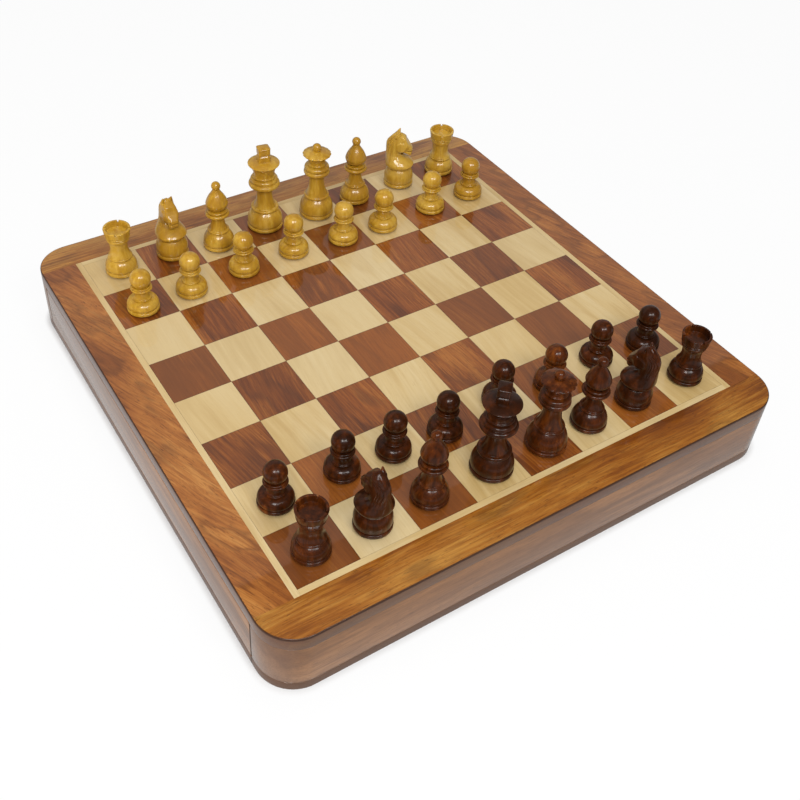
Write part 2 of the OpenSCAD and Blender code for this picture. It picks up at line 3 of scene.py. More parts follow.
import bpy
import numpy as np
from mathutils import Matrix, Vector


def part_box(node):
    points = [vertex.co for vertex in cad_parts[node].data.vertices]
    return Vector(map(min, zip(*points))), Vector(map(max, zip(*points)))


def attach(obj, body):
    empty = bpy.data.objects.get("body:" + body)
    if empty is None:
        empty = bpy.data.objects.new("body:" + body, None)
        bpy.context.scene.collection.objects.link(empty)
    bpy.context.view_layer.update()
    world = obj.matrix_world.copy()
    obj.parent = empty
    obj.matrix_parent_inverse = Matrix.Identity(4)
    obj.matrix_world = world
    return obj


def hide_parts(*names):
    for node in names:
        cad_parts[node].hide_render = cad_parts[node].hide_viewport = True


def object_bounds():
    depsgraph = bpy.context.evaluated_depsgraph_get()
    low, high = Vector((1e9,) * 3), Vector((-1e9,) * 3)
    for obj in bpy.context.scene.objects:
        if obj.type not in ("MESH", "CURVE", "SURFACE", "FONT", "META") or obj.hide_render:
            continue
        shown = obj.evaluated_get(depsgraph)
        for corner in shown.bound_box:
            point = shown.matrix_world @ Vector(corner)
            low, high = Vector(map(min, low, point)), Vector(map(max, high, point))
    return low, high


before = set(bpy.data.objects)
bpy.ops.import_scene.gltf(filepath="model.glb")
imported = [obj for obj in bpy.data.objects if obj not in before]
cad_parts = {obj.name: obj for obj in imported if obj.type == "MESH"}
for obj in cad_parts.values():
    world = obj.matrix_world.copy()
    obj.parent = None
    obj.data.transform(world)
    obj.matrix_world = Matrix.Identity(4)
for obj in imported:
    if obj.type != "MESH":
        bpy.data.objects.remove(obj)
cadBounds = [list(corner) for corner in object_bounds()]
mm = 0.001
print("stage: frame loaded")

# The camera stands where the photograph was taken from
cameraLook = dict(
    place=(-0.2584, -0.3642, 0.4274), turn=(48.554, -2.368, -31.679),       # metres; degrees about X, Y and Z
    lens=47.59, shift=(0.0432, -0.0896))
lens = bpy.data.cameras.new("camera")
lens.lens, lens.sensor_width = cameraLook["lens"], 36
lens.shift_x, lens.shift_y = cameraLook["shift"]
lens.clip_start, lens.clip_end = 0.01, 50
camera = bpy.data.objects.new("camera", lens)
camera.location = cameraLook["place"]
camera.rotation_euler = [math.radians(angle) for angle in cameraLook["turn"]]
bpy.context.scene.collection.objects.link(camera)
bpy.context.scene.camera = camera
bpy.context.scene.view_settings.view_transform = "Standard"


# ---- shader maths ----
class Wire:
    # A node's output; sums and products of wires add their Math nodes
    def __init__(self, paint, socket):
        self.paint, self.socket = paint, socket

    def __add__(self, other): return self.paint.maths("ADD", self, other)
    def __sub__(self, other): return self.paint.maths("SUBTRACT", self, other)
    def __rsub__(self, other): return self.paint.maths("SUBTRACT", other, self)
    def __mul__(self, other): return self.paint.maths("MULTIPLY", self, other)
    def __rmul__(self, other): return self.paint.maths("MULTIPLY", other, self)
    def __truediv__(self, other): return self.paint.maths("DIVIDE", self, other)
    def __gt__(self, other): return self.paint.maths("GREATER_THAN", self, other)
    def __abs__(self): return self.paint.maths("ABSOLUTE", self)


class Paint:
    # A material, or the world, made of nodes
    def __init__(self, owner):
        owner.use_nodes = True
        self.owner, self.tree = owner, owner.node_tree
        self.tree.nodes.clear()

    # Any node: its type, its settings, then the values or wires of its sockets
    def node(self, kind, settings=None, sockets=None, output=0):
        made = self.tree.nodes.new("ShaderNode" + kind)
        for key, value in (settings or {}).items():
            if key == "stops":
                ramp = made.color_ramp.elements
                while len(ramp) < len(value):
                    ramp.new(0.5)
                for stop, (place, colour) in zip(ramp, value):
                    stop.position, stop.color = place, (*colour, 1)
            else:
                setattr(made, key, value)
        for key, value in (sockets or {}).items():
            if isinstance(value, Wire):
                self.tree.links.new(value.socket, made.inputs[key])
            else:
                made.inputs[key].default_value = value
        return Wire(self, made.outputs[output]) if made.outputs else None

    def maths(self, operation, *values):
        return self.node("Math", {"operation": operation}, dict(enumerate(values)))

    def mix(self, factor, first, second):
        first, second = [c if isinstance(c, Wire) else (*c, 1) for c in (first, second)]
        return self.node("Mix", {"data_type": "RGBA"}, {0: factor, 6: first, 7: second}, 2)

    def between(self, value, low, high, newLow=0.0, newHigh=1.0):
        return self.node("MapRange", {"interpolation_type": "SMOOTHSTEP"},
                         {"Value": value, "From Min": low, "From Max": high, "To Min": newLow, "To Max": newHigh})

    def noise(self, vector, scale, detail=2.0, roughness=0.5, output=0):
        return self.node("TexNoise", {}, {"Vector": vector, "Scale": scale, "Detail": detail,
                                          "Roughness": roughness}, output)

    def scaled(self, vector, scale):
        return self.node("VectorMath", {"operation": "MULTIPLY"}, {0: vector, 1: scale})

    def moved(self, vector, other):
        return self.node("VectorMath", {"operation": "ADD"}, {0: vector, 1: other})

    def apart(self, vector):
        return [self.node("SeparateXYZ", {}, {0: vector}, k) for k in range(3)]

    def together(self, x, y, z):
        return self.node("CombineXYZ", {}, {0: x, 1: y, 2: z})

    def place(self):        # x, y and z on the object
        return self.apart(self.node("TexCoord", output=3))

    def facing(self):       # x, y and z of the surface's normal
        return self.apart(self.node("NewGeometry", output=1))

    def done(self, surface, output="OutputMaterial"):
        self.node(output, {}, {"Surface": surface})
        return self.owner


def newPaint(name):
    return Paint(bpy.data.materials.new(name))


# ---- woods ----
# Colour of a board: clouds stretched along the grain set the tone, growth lines follow the contours of a
# bent cloud, and streaks, fibres and pores run with the grain. spot is in metres with X along the grain.
def figured(paint, spot, look):
    turned = paint.node("Mapping", {}, {"Vector": spot, "Rotation": (0, 0, math.radians(look["lean"]))})
    wander = paint.noise(paint.scaled(turned, (0.5, 1, 1)), look["bendScale"], output=1)
    wander = paint.moved(wander, (-0.5, -0.5, -0.5))
    bent = paint.moved(turned, paint.scaled(wander, (look["bend"] * 0.5, look["bend"], look["bend"])))
    along = paint.scaled(bent, (1 / look["long"], 1, 1))
    cloud = paint.noise(along, look["cloud"])
    tone = paint.noise(along, look["cloud"] * 0.6, 3, 0.55) * 0.55 + cloud * 0.45
    streak = paint.noise(paint.scaled(bent, (1 / look["streakLong"], 1, 1)), look["streak"], 3, 0.6)
    tone = tone + (streak - 0.5) * look["streakDepth"]
    if look["pieceDepth"]:
        tone = tone + (paint.node("Attribute", {"attribute_name": "shade"}, output=2) - 0.5) * look["pieceDepth"]
    tone = paint.between(tone, look["toneLow"], look["toneHigh"])
    colour = paint.node("ValToRGB", {"stops": look["tones"]}, {0: tone})
    rings = cloud * look["rings"] + streak * look["ragged"]
    lines = paint.maths("PINGPONG", rings, 0.5) * 2
    fibres = paint.noise(paint.scaled(bent, (1 / look["fibreLong"], 1, 1)), look["fibre"], 3, 0.65)
    pores = paint.noise(paint.scaled(bent, (1 / look["poreLong"], 1, 1)), look["pore"], 1)
    for mask in (paint.between(lines, look["lineFrom"], 1.0) * look["lineDepth"],
                 paint.between(fibres, *look["fibreShow"]) * look["fibreDepth"],
                 paint.between(pores, *look["poreShow"]) * look["poreDepth"]):
        colour = paint.mix(mask, colour, look["lineColour"])
    return colour, fibres


# Lacquered or polished wood on its grain
def lacquered(paint, colour, fibres, look, coat=None):
    return paint.done(paint.node("BsdfPrincipled", {}, {
        "Base Color": colour,
        "Roughness": paint.between(fibres, 0.2, 0.8, look["rough"] - 0.05, look["rough"] + 0.08),
        "IOR": 1.5,
        "Specular IOR Level": look["specular"],
        "Coat Weight": look["coat"] if coat is None else coat,
        "Coat Roughness": look["coatRough"],
        "Coat IOR": look["coatIor"],
        "Normal": paint.node("Bump", {}, {"Strength": look["bump"], "Distance": 0.0002, "Height": fibres}),
    }))


# Wood of a piece that carries its own grain coordinates. A look's band darkens the piece's sides between two
# heights, and a dark arris line runs just under the top face. At a look's seams dark lines of painted shade,
# for the gaps there, cross the sides, and beyond them the corners show their end grain.
def pieceWood(name, look):
    paint = newPaint(name)
    spot = paint.node("Attribute", {"attribute_name": "grain"}, output=1)
    colour, fibres = figured(paint, spot, look)
    if "band" not in look:
        return lacquered(paint, colour, fibres, look)
    _, y, height = paint.place()
    towardsX, _, up = paint.facing()
    side = 1 - paint.between(up, 0.55, 0.9)
    # The band: on the border strips it is partly their darker edge polish and partly painted shade on their sides; on
    # the case's sides it makes the lowest 6 mm darker. Both lose some coat there
    low, high, soft, wander = look["band"]
    level = height + (paint.noise(spot, 45) - 0.5) * wander
    mask = paint.between(level, low - soft, low + soft) * (1 - paint.between(level, high - soft, high + soft)) * side
    colour = paint.mix(mask * look["bandDepth"], colour, look["bandColour"])
    start, soft = look["arris"] - look["arrisDeep"], look["arrisSoft"]
    arris = paint.between(height, start - soft, start + soft) * (1 - paint.between(up, 0.93, 0.995))
    colour = paint.mix(arris * look["arrisDepth"], colour, look["arrisColour"])
    coat = (1 - mask * look["worn"]) * look["coat"] * (1 - arris * 0.9)
    if "seams" in look:
        endGrain = (abs(y) > max(look["seams"])) * paint.between(abs(towardsX), 0.1, 0.7)
        colour = paint.mix(endGrain * look["endDepth"], colour, look["endColour"])
        # Lines of painted shade where the gaps round the drawer fronts meet the sides; the coat is taken off there
        # too
        for place in look["seams"]:
            line = (1 - paint.between(abs(y - place), *look["seamWide"])) * side * look["seamDepth"]
            colour = paint.mix(line, colour, look["seamColour"])
            coat = coat * (1 - line)
    return lacquered(paint, colour, fibres, look, coat)


# Squares: each has its own cut of veneer, found from its place on the field
def squareWood(name, look):
    paint = newPaint(name)
    x, y, z = paint.place()
    file, row = [paint.maths("FLOOR", way / squareWidth) for way in (x, y)]
    number = paint.together(file, row, look["seed"])
    pick = paint.node("TexWhiteNoise", {"noise_dimensions": "3D"}, {"Vector": number}, 1)
    red, green, blue = paint.apart(pick)
    lean = (green - 0.5) * look["turnRange"]
    spot = paint.moved(paint.together(y + x * lean, x - y * lean, z), paint.scaled(pick, (3, 5, 7)))
    colour, fibres = figured(paint, spot, look)
    colour = paint.mix(paint.between(blue, 0.35, 1.0) * look["spread"], colour, look["spreadColour"])
    colour = paint.mix(paint.between(red, 0.5, 1.0) * look["spread"], colour, look["spreadDark"])
    toEdge = paint.maths("MINIMUM", *[paint.maths("PINGPONG", way, squareWidth / 2) for way in (x, y)])
    seam = (1 - paint.between(toEdge, *look["seamWide"])) * look["seam"]
    return lacquered(paint, paint.mix(seam, colour, look["seamColour"]), fibres, look)


boardTop, boardUnder, squareWidth = 39.2 * mm, 31.2 * mm, 32.3 * mm
# What the woods share unless their own looks say otherwise
wood = dict(
    lean=0, ragged=0.35, toneLow=0.36, toneHigh=0.64, pieceDepth=0.0,
    fibreLong=22, fibreShow=(0.42, 0.68), poreLong=9, poreShow=(0.64, 0.72),
    rough=0.35, specular=0.3, coat=1.0, coatIor=1.5, bump=0.15)
sheeshamBorder = dict(
    wood, long=3.6, cloud=46, bendScale=26, bend=0.006, rings=3.5, ragged=0.45, pieceDepth=0.36,
    streak=700, streakLong=20, streakDepth=0.42, toneLow=0.30, toneHigh=0.70,
    tones=[(0.0, (0.160, 0.040, 0.003)), (0.32, (0.250, 0.075, 0.005)), (0.62, (0.335, 0.122, 0.013)),
           (1.0, (0.460, 0.215, 0.036))],
    lineFrom=0.6, lineDepth=0.40, lineColour=(0.070, 0.018, 0.003),
    fibre=1500, fibreDepth=0.34, pore=2400, poreDepth=0.6, coatRough=0.03,
    # band: the strips' sides darker, partly their darker edge polish and partly painted shade
    band=(boardUnder - 0.001, boardTop + 0.001, 0.0004, 0.0),       # low, high, softness, waver
    bandDepth=0.85, bandColour=(0.092, 0.038, 0.018), worn=0.35,
    arris=boardTop, arrisSoft=0.0004, arrisDeep=0.0013, arrisDepth=0.9, arrisColour=(0.040, 0.015, 0.007))
sheeshamFlame = dict(
    sheeshamBorder, long=2.6, cloud=50, lean=22, bendScale=20, bend=0.014, rings=4.0, streak=620, streakLong=14,
    tones=[(0.0, (0.220, 0.064, 0.010)), (0.35, (0.320, 0.104, 0.017)), (0.65, (0.395, 0.142, 0.026)),
           (1.0, (0.500, 0.215, 0.050))])
sheeshamSide = dict(
    sheeshamBorder, cloud=40, long=6.0, bend=0.004, rings=3.0, streak=260, streakLong=16, pieceDepth=0.0,
    tones=[(0.0, (0.190, 0.076, 0.022)), (0.4, (0.275, 0.118, 0.036)), (0.7, (0.335, 0.150, 0.050)),
           (1.0, (0.400, 0.190, 0.070))],
    lineDepth=0.3, lineColour=(0.110, 0.045, 0.016), rough=0.4, coatRough=0.10,
    # band: the lowest 6 mm of the sides darker, with less coat
    band=(-0.001, 0.0060, 0.0007, 0.0006), bandColour=(0.105, 0.052, 0.030), worn=0.6, arris=1.0,   # no arris so high
    # seams: lines of painted shade for the gaps round the drawer fronts
    seams=[place[1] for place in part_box("left_drawer_front")],
    seamWide=(0.0003, 0.0009), seamDepth=0.8, seamColour=(0.020, 0.010, 0.006),
    endDepth=0.55, endColour=(0.105, 0.046, 0.022))
sheeshamSquare = dict(
    wood, seed=3.7, long=4.5, cloud=52, bendScale=26, bend=0.005, rings=3.0, ragged=0.45,
    streak=800, streakLong=26, streakDepth=0.6, toneLow=0.28, toneHigh=0.74,
    tones=[(0.0, (0.135, 0.032, 0.004)), (0.35, (0.215, 0.056, 0.007)), (0.65, (0.272, 0.077, 0.010)),
           (1.0, (0.370, 0.128, 0.021))],
    lineFrom=0.6, lineDepth=0.45, lineColour=(0.065, 0.018, 0.005), turnRange=0.4,
    fibre=1700, fibreDepth=0.40, pore=2400, poreDepth=0.5,
    spread=0.45, spreadColour=(0.290, 0.090, 0.014), spreadDark=(0.095, 0.028, 0.008),
    seam=0.7, seamWide=(0.00005, 0.0003), seamColour=(0.05, 0.02, 0.01), coatRough=0.02)
mapleSquare = dict(
    sheeshamSquare, seed=9.2, long=4.0, cloud=38, bendScale=24, bend=0.006, ragged=0.3,
    streak=300, streakLong=18, streakDepth=0.35, toneLow=0.3, toneHigh=0.7,
    tones=[(0.0, (0.480, 0.318, 0.116)), (0.35, (0.580, 0.415, 0.184)), (1.0, (0.640, 0.490, 0.256))],
    lineFrom=0.7, lineDepth=0.16, lineColour=(0.400, 0.240, 0.080), turnRange=0.3,
    fibre=1000, fibreDepth=0.16, pore=2000, poreDepth=0.22,
    spread=0.35, spreadColour=(0.640, 0.515, 0.300), spreadDark=(0.545, 0.375, 0.150), seam=0.35,
    coatRough=0.025)
boxwood = dict(
    wood, long=5.0, cloud=90, bendScale=60, bend=0.003, rings=4.0, pieceDepth=0.20,
    streak=500, streakLong=12, streakDepth=0.5,
    tones=[(0.0, (0.390, 0.195, 0.010)), (0.5, (0.480, 0.262, 0.018)), (1.0, (0.560, 0.335, 0.042))],
    lineFrom=0.5, lineDepth=0.18, lineColour=(0.300, 0.125, 0.008),
    fibre=1800, fibreDepth=0.16, pore=3000, poreDepth=0.2,
    rough=0.40, coat=0.8, coatRough=0.10, bump=0.25)
roseMan = dict(
    wood, long=5.0, cloud=80, bendScale=60, bend=0.003, rings=4.0, pieceDepth=0.36,
    streak=450, streakLong=12, streakDepth=0.5, toneLow=0.30, toneHigh=0.80,
    tones=[(0.0, (0.026, 0.006, 0.001)), (0.45, (0.080, 0.017, 0.002)), (1.0, (0.220, 0.058, 0.007))],
    lineFrom=0.5, lineDepth=0.45, lineColour=(0.012, 0.004, 0.001),
    fibre=1800, fibreDepth=0.30, pore=3000, poreDepth=0.3,
    coat=0.45, coatRough=0.07, specular=0.12, coatIor=1.4)
softwood = dict(
    wood, long=8.0, cloud=60, bendScale=30, bend=0.004, rings=7.0, pieceDepth=0.1,
    streak=350, streakLong=20, streakDepth=0.4,
    tones=[(0.0, (0.330, 0.185, 0.080)), (0.5, (0.430, 0.260, 0.120)), (1.0, (0.520, 0.340, 0.175))],
    lineFrom=0.5, lineDepth=0.35, lineColour=(0.240, 0.120, 0.045),
    fibre=1200, fibreDepth=0.25, pore=2400, poreDepth=0.25,
    rough=0.5, coat=0.35, coatRough=0.3)

borderWood = pieceWood("borderWood", sheeshamBorder)
flameWood = pieceWood("flameWood", sheeshamFlame)
sideWood = pieceWood("sideWood", sheeshamSide)
plainWood = pieceWood("plainWood", softwood)
alongWood = pieceWood("alongWood", dict(softwood, lean=90))
lightManWood = pieceWood("lightManWood", boxwood)
darkManWood = pieceWood("darkManWood", roseMan)
darkSquareWood = squareWood("darkSquareWood", sheeshamSquare)
paleSquareWood = squareWood("paleSquareWood", mapleSquare)


# Stringing: its strips run along X or Y by their place
def stringingWood(name, look, innerEdge):
    paint = newPaint(name)
    x, y, z = paint.place()
    across = abs(x) > innerEdge
    spot = paint.together(y * across + x * (1 - across) + across * 0.7, x * across + y * (1 - across), z)
    return lacquered(paint, *figured(paint, spot, look), look)


stringWood = stringingWood("stringWood", mapleSquare, 4 * squareWidth)


# Flocked cloth: short pile with a sheen and a mottled nap
def pile(name, look):
    paint = newPaint(name)
    here = paint.node("TexCoord", output=3)
    nap = paint.noise(here, look["nap"], 3, 0.6)
    grains = paint.noise(here, look["grains"], 2, 0.6)
    colour = paint.mix(paint.between(nap, 0.35, 0.65), look["dark"], look["light"])
    colour = paint.mix(paint.between(grains, 0.3, 0.7) * 0.5, colour, look["dark"])
    return paint.done(paint.node("BsdfPrincipled", {}, {
        "Base Color": colour, "Roughness": 0.95, "Specular IOR Level": 0.1,
        "Sheen Weight": look["sheen"], "Sheen Roughness": 0.4, "Sheen Tint": (*look["light"], 1),
        "Normal": paint.node("Bump", {}, {"Strength": 0.5, "Distance": 0.0002, "Height": grains})}))


velvet = pile("velvet", {"nap": 140, "grains": 4000, "sheen": 0.8,
                         "dark": (0.100, 0.006, 0.010), "light": (0.260, 0.016, 0.026)})
baize = pile("baize", {"nap": 220, "grains": 3500, "sheen": 0.4,
                       "dark": (0.010, 0.060, 0.028), "light": (0.022, 0.110, 0.055)})
print("stage: materials made")


# ---- mesh helpers ----
def meshObject(name, vertices, faces, material=None):
    mesh = bpy.data.meshes.new(name)
    mesh.from_pydata(np.asarray(vertices).tolist(), [], faces)
    if material:
        mesh.materials.append(material)
    made = bpy.data.objects.new(name, mesh)
    bpy.context.scene.collection.objects.link(made)
    return made


# A mesh object from vertices in metres and lists of faces, with its grain coordinates (X along the grain, and a
# shift of its own so that no two pieces show the same wood) and its shade, from dark at 0 to light at 1
def piece(name, vertices, faces, material, body, replaced=(), grainAxis=0, seed=0, centre=(0, 0, 0), slot=None,
          shade=0.5):
    made = meshObject(name, vertices, faces, material)
    grainOf(made.data, grainAxis, seed, centre, shade)
    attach(made, body)
    if replaced:
        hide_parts(*replaced)
    return made


grainOrder = {0: (0, 1, 2), 1: (1, 0, 2), 2: (2, 0, 1)}     # the axis along the grain comes first


def grainOf(mesh, grainAxis, seed, centre, shade):
    points = np.empty(len(mesh.vertices) * 3, dtype=np.float32)
    mesh.vertices.foreach_get("co", points)
    points = (points.reshape(-1, 3) - np.array(centre, dtype=np.float32))[:, grainOrder[grainAxis]]
    shift = np.random.default_rng(seed).uniform(-9, 9, 3)
    layer = mesh.attributes.new("grain", "FLOAT_VECTOR", "POINT")
    layer.data.foreach_set("vector", (points + shift).astype(np.float32).ravel())
    layer = mesh.attributes.new("shade", "FLOAT", "POINT")
    layer.data.foreach_set("value", np.full(len(points), shade, dtype=np.float32))


def smooth(made, angle=40):     # edges that turn by more degrees stay sharp
    made.data.polygons.foreach_set("use_smooth", [True] * len(made.data.polygons))
    made.data.set_sharp_from_angle(angle=math.radians(angle))


# Several pairs of vertices and faces as one
def joined(parts):
    vertices, faces, start = [], [], 0
    for points, corners in parts:
        vertices.append(points)
        faces += [[c + start for c in face] for face in corners]
        start += len(points)
    return np.concatenate(vertices), faces


# Block with its edges eased: the plan is a rectangle whose corners have their own radii, carried up
# an edge profile that starts and ends with a quarter round, of radius ease or of a pair of radii
def slab(low, high, ease, corners=None, steps=4, cornerSteps=16):
    (x0, y0, z0), (x1, y1, z1) = np.array(low), np.array(high)
    below, above = ease if hasattr(ease, "__len__") else (ease, ease)
    widest = max(below, above)
    turn = np.linspace(0, np.pi / 2, steps + 1)
    inset = np.concatenate([below * (1 - np.sin(turn)), above * (1 - np.cos(turn))])
    height = np.concatenate([z0 + below * (1 - np.cos(turn)), z1 - above * (1 - np.sin(turn))])
    corners = corners or (0, 0, 0, 0)       # near left, near right, far right, far left
    rings = []
    for k, (cx, cy, sx, sy) in enumerate([(x0, y0, 1, 1), (x1, y0, -1, 1), (x1, y1, -1, -1), (x0, y1, 1, -1)]):
        r = max(corners[k], widest * 1.001)
        a = math.pi + k * math.pi / 2 + np.linspace(0, np.pi / 2, cornerSteps if r > 3 * widest else 5)
        reach = (r - inset)[:, None]
        rings.append(np.stack([cx + sx * r + reach * np.cos(a), cy + sy * r + reach * np.sin(a)], axis=2))
    plan = np.concatenate(rings, axis=1)
    vertices = np.concatenate([plan, np.broadcast_to(height[:, None, None], plan.shape[:2] + (1,))], axis=2)
    rows, columns = plan.shape[:2]
    index, quads = band(rows, columns)
    return vertices.reshape(-1, 3), quads + [index[0, ::-1].tolist(), index[-1].tolist()]


# Numbers of a grid's vertices and the quads between its rows, closed round the columns
def band(rows, columns):
    index = np.arange(rows * columns).reshape(rows, columns)
    onward = np.roll(index, -1, axis=1)
    return index, np.stack([index[:-1], onward[:-1], onward[1:], index[1:]], axis=2).reshape(-1, 4).tolist()


# A slab cut back to a box, so that it is eased only where it reaches the box's own faces
def trimmed(shape, low, high):
    points, index = np.unique(np.round(np.clip(shape[0], low, high), 7), axis=0, return_inverse=True)
    index = index.ravel()
    faces = [[a for a, b in zip(index[face], index[face[1:] + face[:1]]) if a != b] for face in shape[1]]
    return points, [face for face in faces if len(set(face)) > 2]


def slabPiece(name, material, body, slot, ease=0.4, corners=None, grainAxis=0, seed=1):
    vertices, faces = slab(*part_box(name), np.multiply(ease, mm), corners)
    made = piece(name + "_shaped", vertices, faces, material, body, (name,), grainAxis, seed, slot=slot)
    smooth(made)
    return made


# ---- box ----
boxLook = dict(corner=19.5 * mm, edge=(0.15, 0.7), seam=0.2, overhang=5 * mm)
corner = boxLook["corner"]
nearCorners, farCorners = (corner, corner, 0, 0), (0, 0, corner, corner)
slabPiece("bottom_panel", sideWood, "box", "case_wood", boxLook["seam"], (corner,) * 4, 0, 11)
slabPiece("front_wall", sideWood, "box", "case_wood", boxLook["seam"], nearCorners, 0, 12)
slabPiece("back_wall", sideWood, "box", "case_wood", boxLook["seam"], farCorners, 0, 13)

# Border strips: each is made too long at its joints, at its low and its high corner, and cut back there
for number, (side, material, corners, before, behind, grainAxis, shade) in enumerate((
        ("front", borderWood, nearCorners, (0, 0, 0), (0, 1, 0), 0, 0.5),
        ("back", borderWood, farCorners, (0, 1, 0), (0, 0, 0), 0, 0.75),
        ("left", flameWood, None, (0, 1, 0), (1, 1, 0), 1, 0.5),
        ("right", flameWood, None, (1, 1, 0), (0, 1, 0), 1, 0.2))):
    low, high = [np.array(place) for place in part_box("border_" + side)]
    longer = slab(low - np.multiply(before, boxLook["overhang"]), high + np.multiply(behind, boxLook["overhang"]),
                  np.multiply(boxLook["edge"], mm), corners)
    smooth(piece(f"border_{side}_shaped", *trimmed(longer, low, high), material, "box", ("border_" + side,),
                 grainAxis, 14 + number, slot="border_wood", shade=shade))
slabPiece("centre_divider", plainWood, "box", "plain_wood", boxLook["seam"], None, 1, 18)
slabPiece("top_panel", plainWood, "box", "plain_wood", boxLook["seam"], None, 0, 19)

for node, material in (("light_squares", paleSquareWood), ("dark_squares", darkSquareWood),
                       ("stringing", stringWood)):
    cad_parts[node].data.materials.clear()
    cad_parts[node].data.materials.append(material)
print("stage: box made")

# ---- drawers ----
drawerLook = dict(
    side=5.0 * mm, slat=3.0 * mm, places=8, frontEase=0.3, baseEase=0.1, sideEase=0.5, slatEase=1.1,
    slatLow=0.1 * mm, napWave=0.08 * mm, liningGrid=(60, 110))


# Several slabs as one piece, each given by its lowest and highest corners
def slabsPiece(name, boxes, material, body, slot, ease, seed):
    vertices, faces = joined([slab(low, high, ease * mm) for low, high in boxes])
    smooth(piece(name + "_shaped", vertices, faces, material, body, (name,), 1, seed, slot=slot))


# Sheet of flocked cloth laid on the base: its top is a grid whose height waves by the nap, its underside
# the same grid a cloth's thickness lower, and a skirt closes the rim
def liningSheet(name, low, high, material, body, base):
    columns, rows = drawerLook["liningGrid"]
    x, y = np.meshgrid(np.linspace(low[0], high[0], columns), np.linspace(low[1], high[1], rows))
    wave = np.sin(x * 170 + 3 * np.sin(y * 60)) * np.sin(y * 140 + 2 * np.cos(x * 90)) * drawerLook["napWave"]
    top = np.stack([x, y, high[2] - drawerLook["napWave"] + wave], axis=2).reshape(-1, 3)
    under = np.stack([x, y, np.full_like(x, low[2])], axis=2).reshape(-1, 3)
    index = np.arange(rows * columns).reshape(rows, columns)
    quads = np.stack([index[:-1, :-1], index[:-1, 1:], index[1:, 1:], index[1:, :-1]], axis=2).reshape(-1, 4)
    rim = np.concatenate([index[0, :-1], index[:-1, -1], index[-1, :0:-1], index[:0:-1, 0]])
    onward, down = np.roll(rim, -1), rows * columns
    skirt = np.stack([rim, rim + down, onward + down, onward], axis=1)
    faces = quads.tolist() + (quads[:, ::-1] + down).tolist() + skirt.tolist()
    made = piece(name + "_laid", np.concatenate([top, under]), faces, material, body, (name,), 1, 5, slot="velvet")
    smooth(made, 50)
    float(high[0] - low[0])
    float(high[1] - low[1])


for number, side in enumerate(("left", "right")):
    body, start = side + "_drawer", side + "_drawer_"
    slabPiece(start + "front", sideWood, body, "case_wood", drawerLook["frontEase"], None, 1, 30 + number)
    base = slabPiece(start + "base", plainWood, body, "plain_wood", drawerLook["baseEase"], None, 1, 32 + number)
    slabPiece(start + "back", plainWood, body, "plain_wood", drawerLook["sideEase"], None, 1, 34 + number)
    slabPiece(start + "long_slat", velvet, body, "velvet", drawerLook["slatEase"], None, 1, 36 + number)
    (x0, y0, z0), (x1, y1, z1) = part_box(start + "sides")
    sides = [((x0, y, z0), (x1, y + drawerLook["side"], z1)) for y in (y0, y1 - drawerLook["side"])]
    slabsPiece(start + "sides", sides, alongWood, body, "plain_wood", drawerLook["sideEase"], 38 + number)
    (x0, y0, z0), (x1, y1, z1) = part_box(start + "cross_slats")
    places = np.linspace(y0, y1 - drawerLook["slat"], drawerLook["places"] - 1)
    slats = [((x0, y, z0), (x1, y + drawerLook["slat"], z1 - drawerLook["slatLow"])) for y in places]
    slabsPiece(start + "cross_slats", slats, velvet, body, "velvet", drawerLook["slatEase"], 40 + number)
    liningSheet(start + "lining", *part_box(start + "lining"), velvet, body, base)
print("stage: drawers made")

# ---- men: outlines ----
feltThickness, feltInset, lipHeight, edge = 0.8, 1.6, 3.5, 0.4      # millimetres, as in the solids
arcSteps = 14


# Points after p on the arc from p to q that bows by sag to the right of its way
def arc(p, q, sag):
    p, q = np.array(p, float), np.array(q, float)
    chord = np.hypot(*(q - p))
    half = 2 * math.atan(2 * abs(sag) / chord)
    radius = chord / 2 / math.sin(half)
    along = (q - p) / chord
    out = np.array([along[1], -along[0]]) * np.sign(sag)
    centre = (p + q) / 2 - out * radius * math.cos(half)
    a = half * (2 * np.arange(1, arcSteps + 1) / arcSteps - 1)
    return centre + radius * (np.outer(np.cos(a), out) + np.outer(np.sin(a), along))


# Outline through rows of (across, up, bow of the stretch that leads there)
def outline(rows):
    points = [np.array([rows[0][:2]], float)]
    for before, row in zip(rows, rows[1:]):
        bowed = len(row) > 2 and row[2]
        points.append(arc(before[:2], row[:2], row[2]) if bowed else np.array([row[:2]], float))
    return np.concatenate(points)


# Rounded lip, a groove, and a body that is fullest low down and draws in to its shoulder
def foot(r, shoulder, h, swell):
    return [(0, feltThickness), (r - 0.8, feltThickness), (r - 0.05, feltThickness + 0.7, 0.1),
            (r - 0.1, lipHeight - 0.8), (r - 0.75, lipHeight - 0.35, 0.12), (r - 1.2, lipHeight - 0.1),
            (r - 0.6, lipHeight + 0.3, 0.1), (r - 0.3, lipHeight + 1.5, 0.1), (shoulder, h, swell)]


# Bead that stands out by bulge
def ring(r, z, h, bulge=None):
    bulge = bulge or h * 0.46
    return [(r - bulge, z), (r - bulge, z + h, bulge)]


# Foot, a bead, and a stem that narrows to its neck and flares under what it carries at height top
def stemmed(s, top):
    r, h, neck = s["foot"], s["footHeight"], s["neck"]
    return (foot(r, r - s["drawnIn"], h, s["swell"]) + ring(r - s["beadIn"], h, s["bead"])
            + [(neck + s["spread"], h + s["bead"] + 0.1), (neck, top - s["narrow"], -s["waist"]),
               (neck + s["flare"], top - s["under"], -s["flareBow"])])


# Two beads with a groove between them and a thin one under the cup
def collar(s, z):
    r, t, cup = s["collar"], s["collarThick"], s["cup"]
    top, second = z + t + s["shoulder"], r - s["upperIn"]
    return (ring(r, z, t, t * 0.4) + [(r - t * 0.4 - 0.35, z + t + 0.12), (second - 0.8, z + t + 0.35),
            (second - 1.9, top - 0.1, 0.8), (cup + 0.1, top + 0.15)] + ring(cup + 0.9, top + edge, s["thin"]))


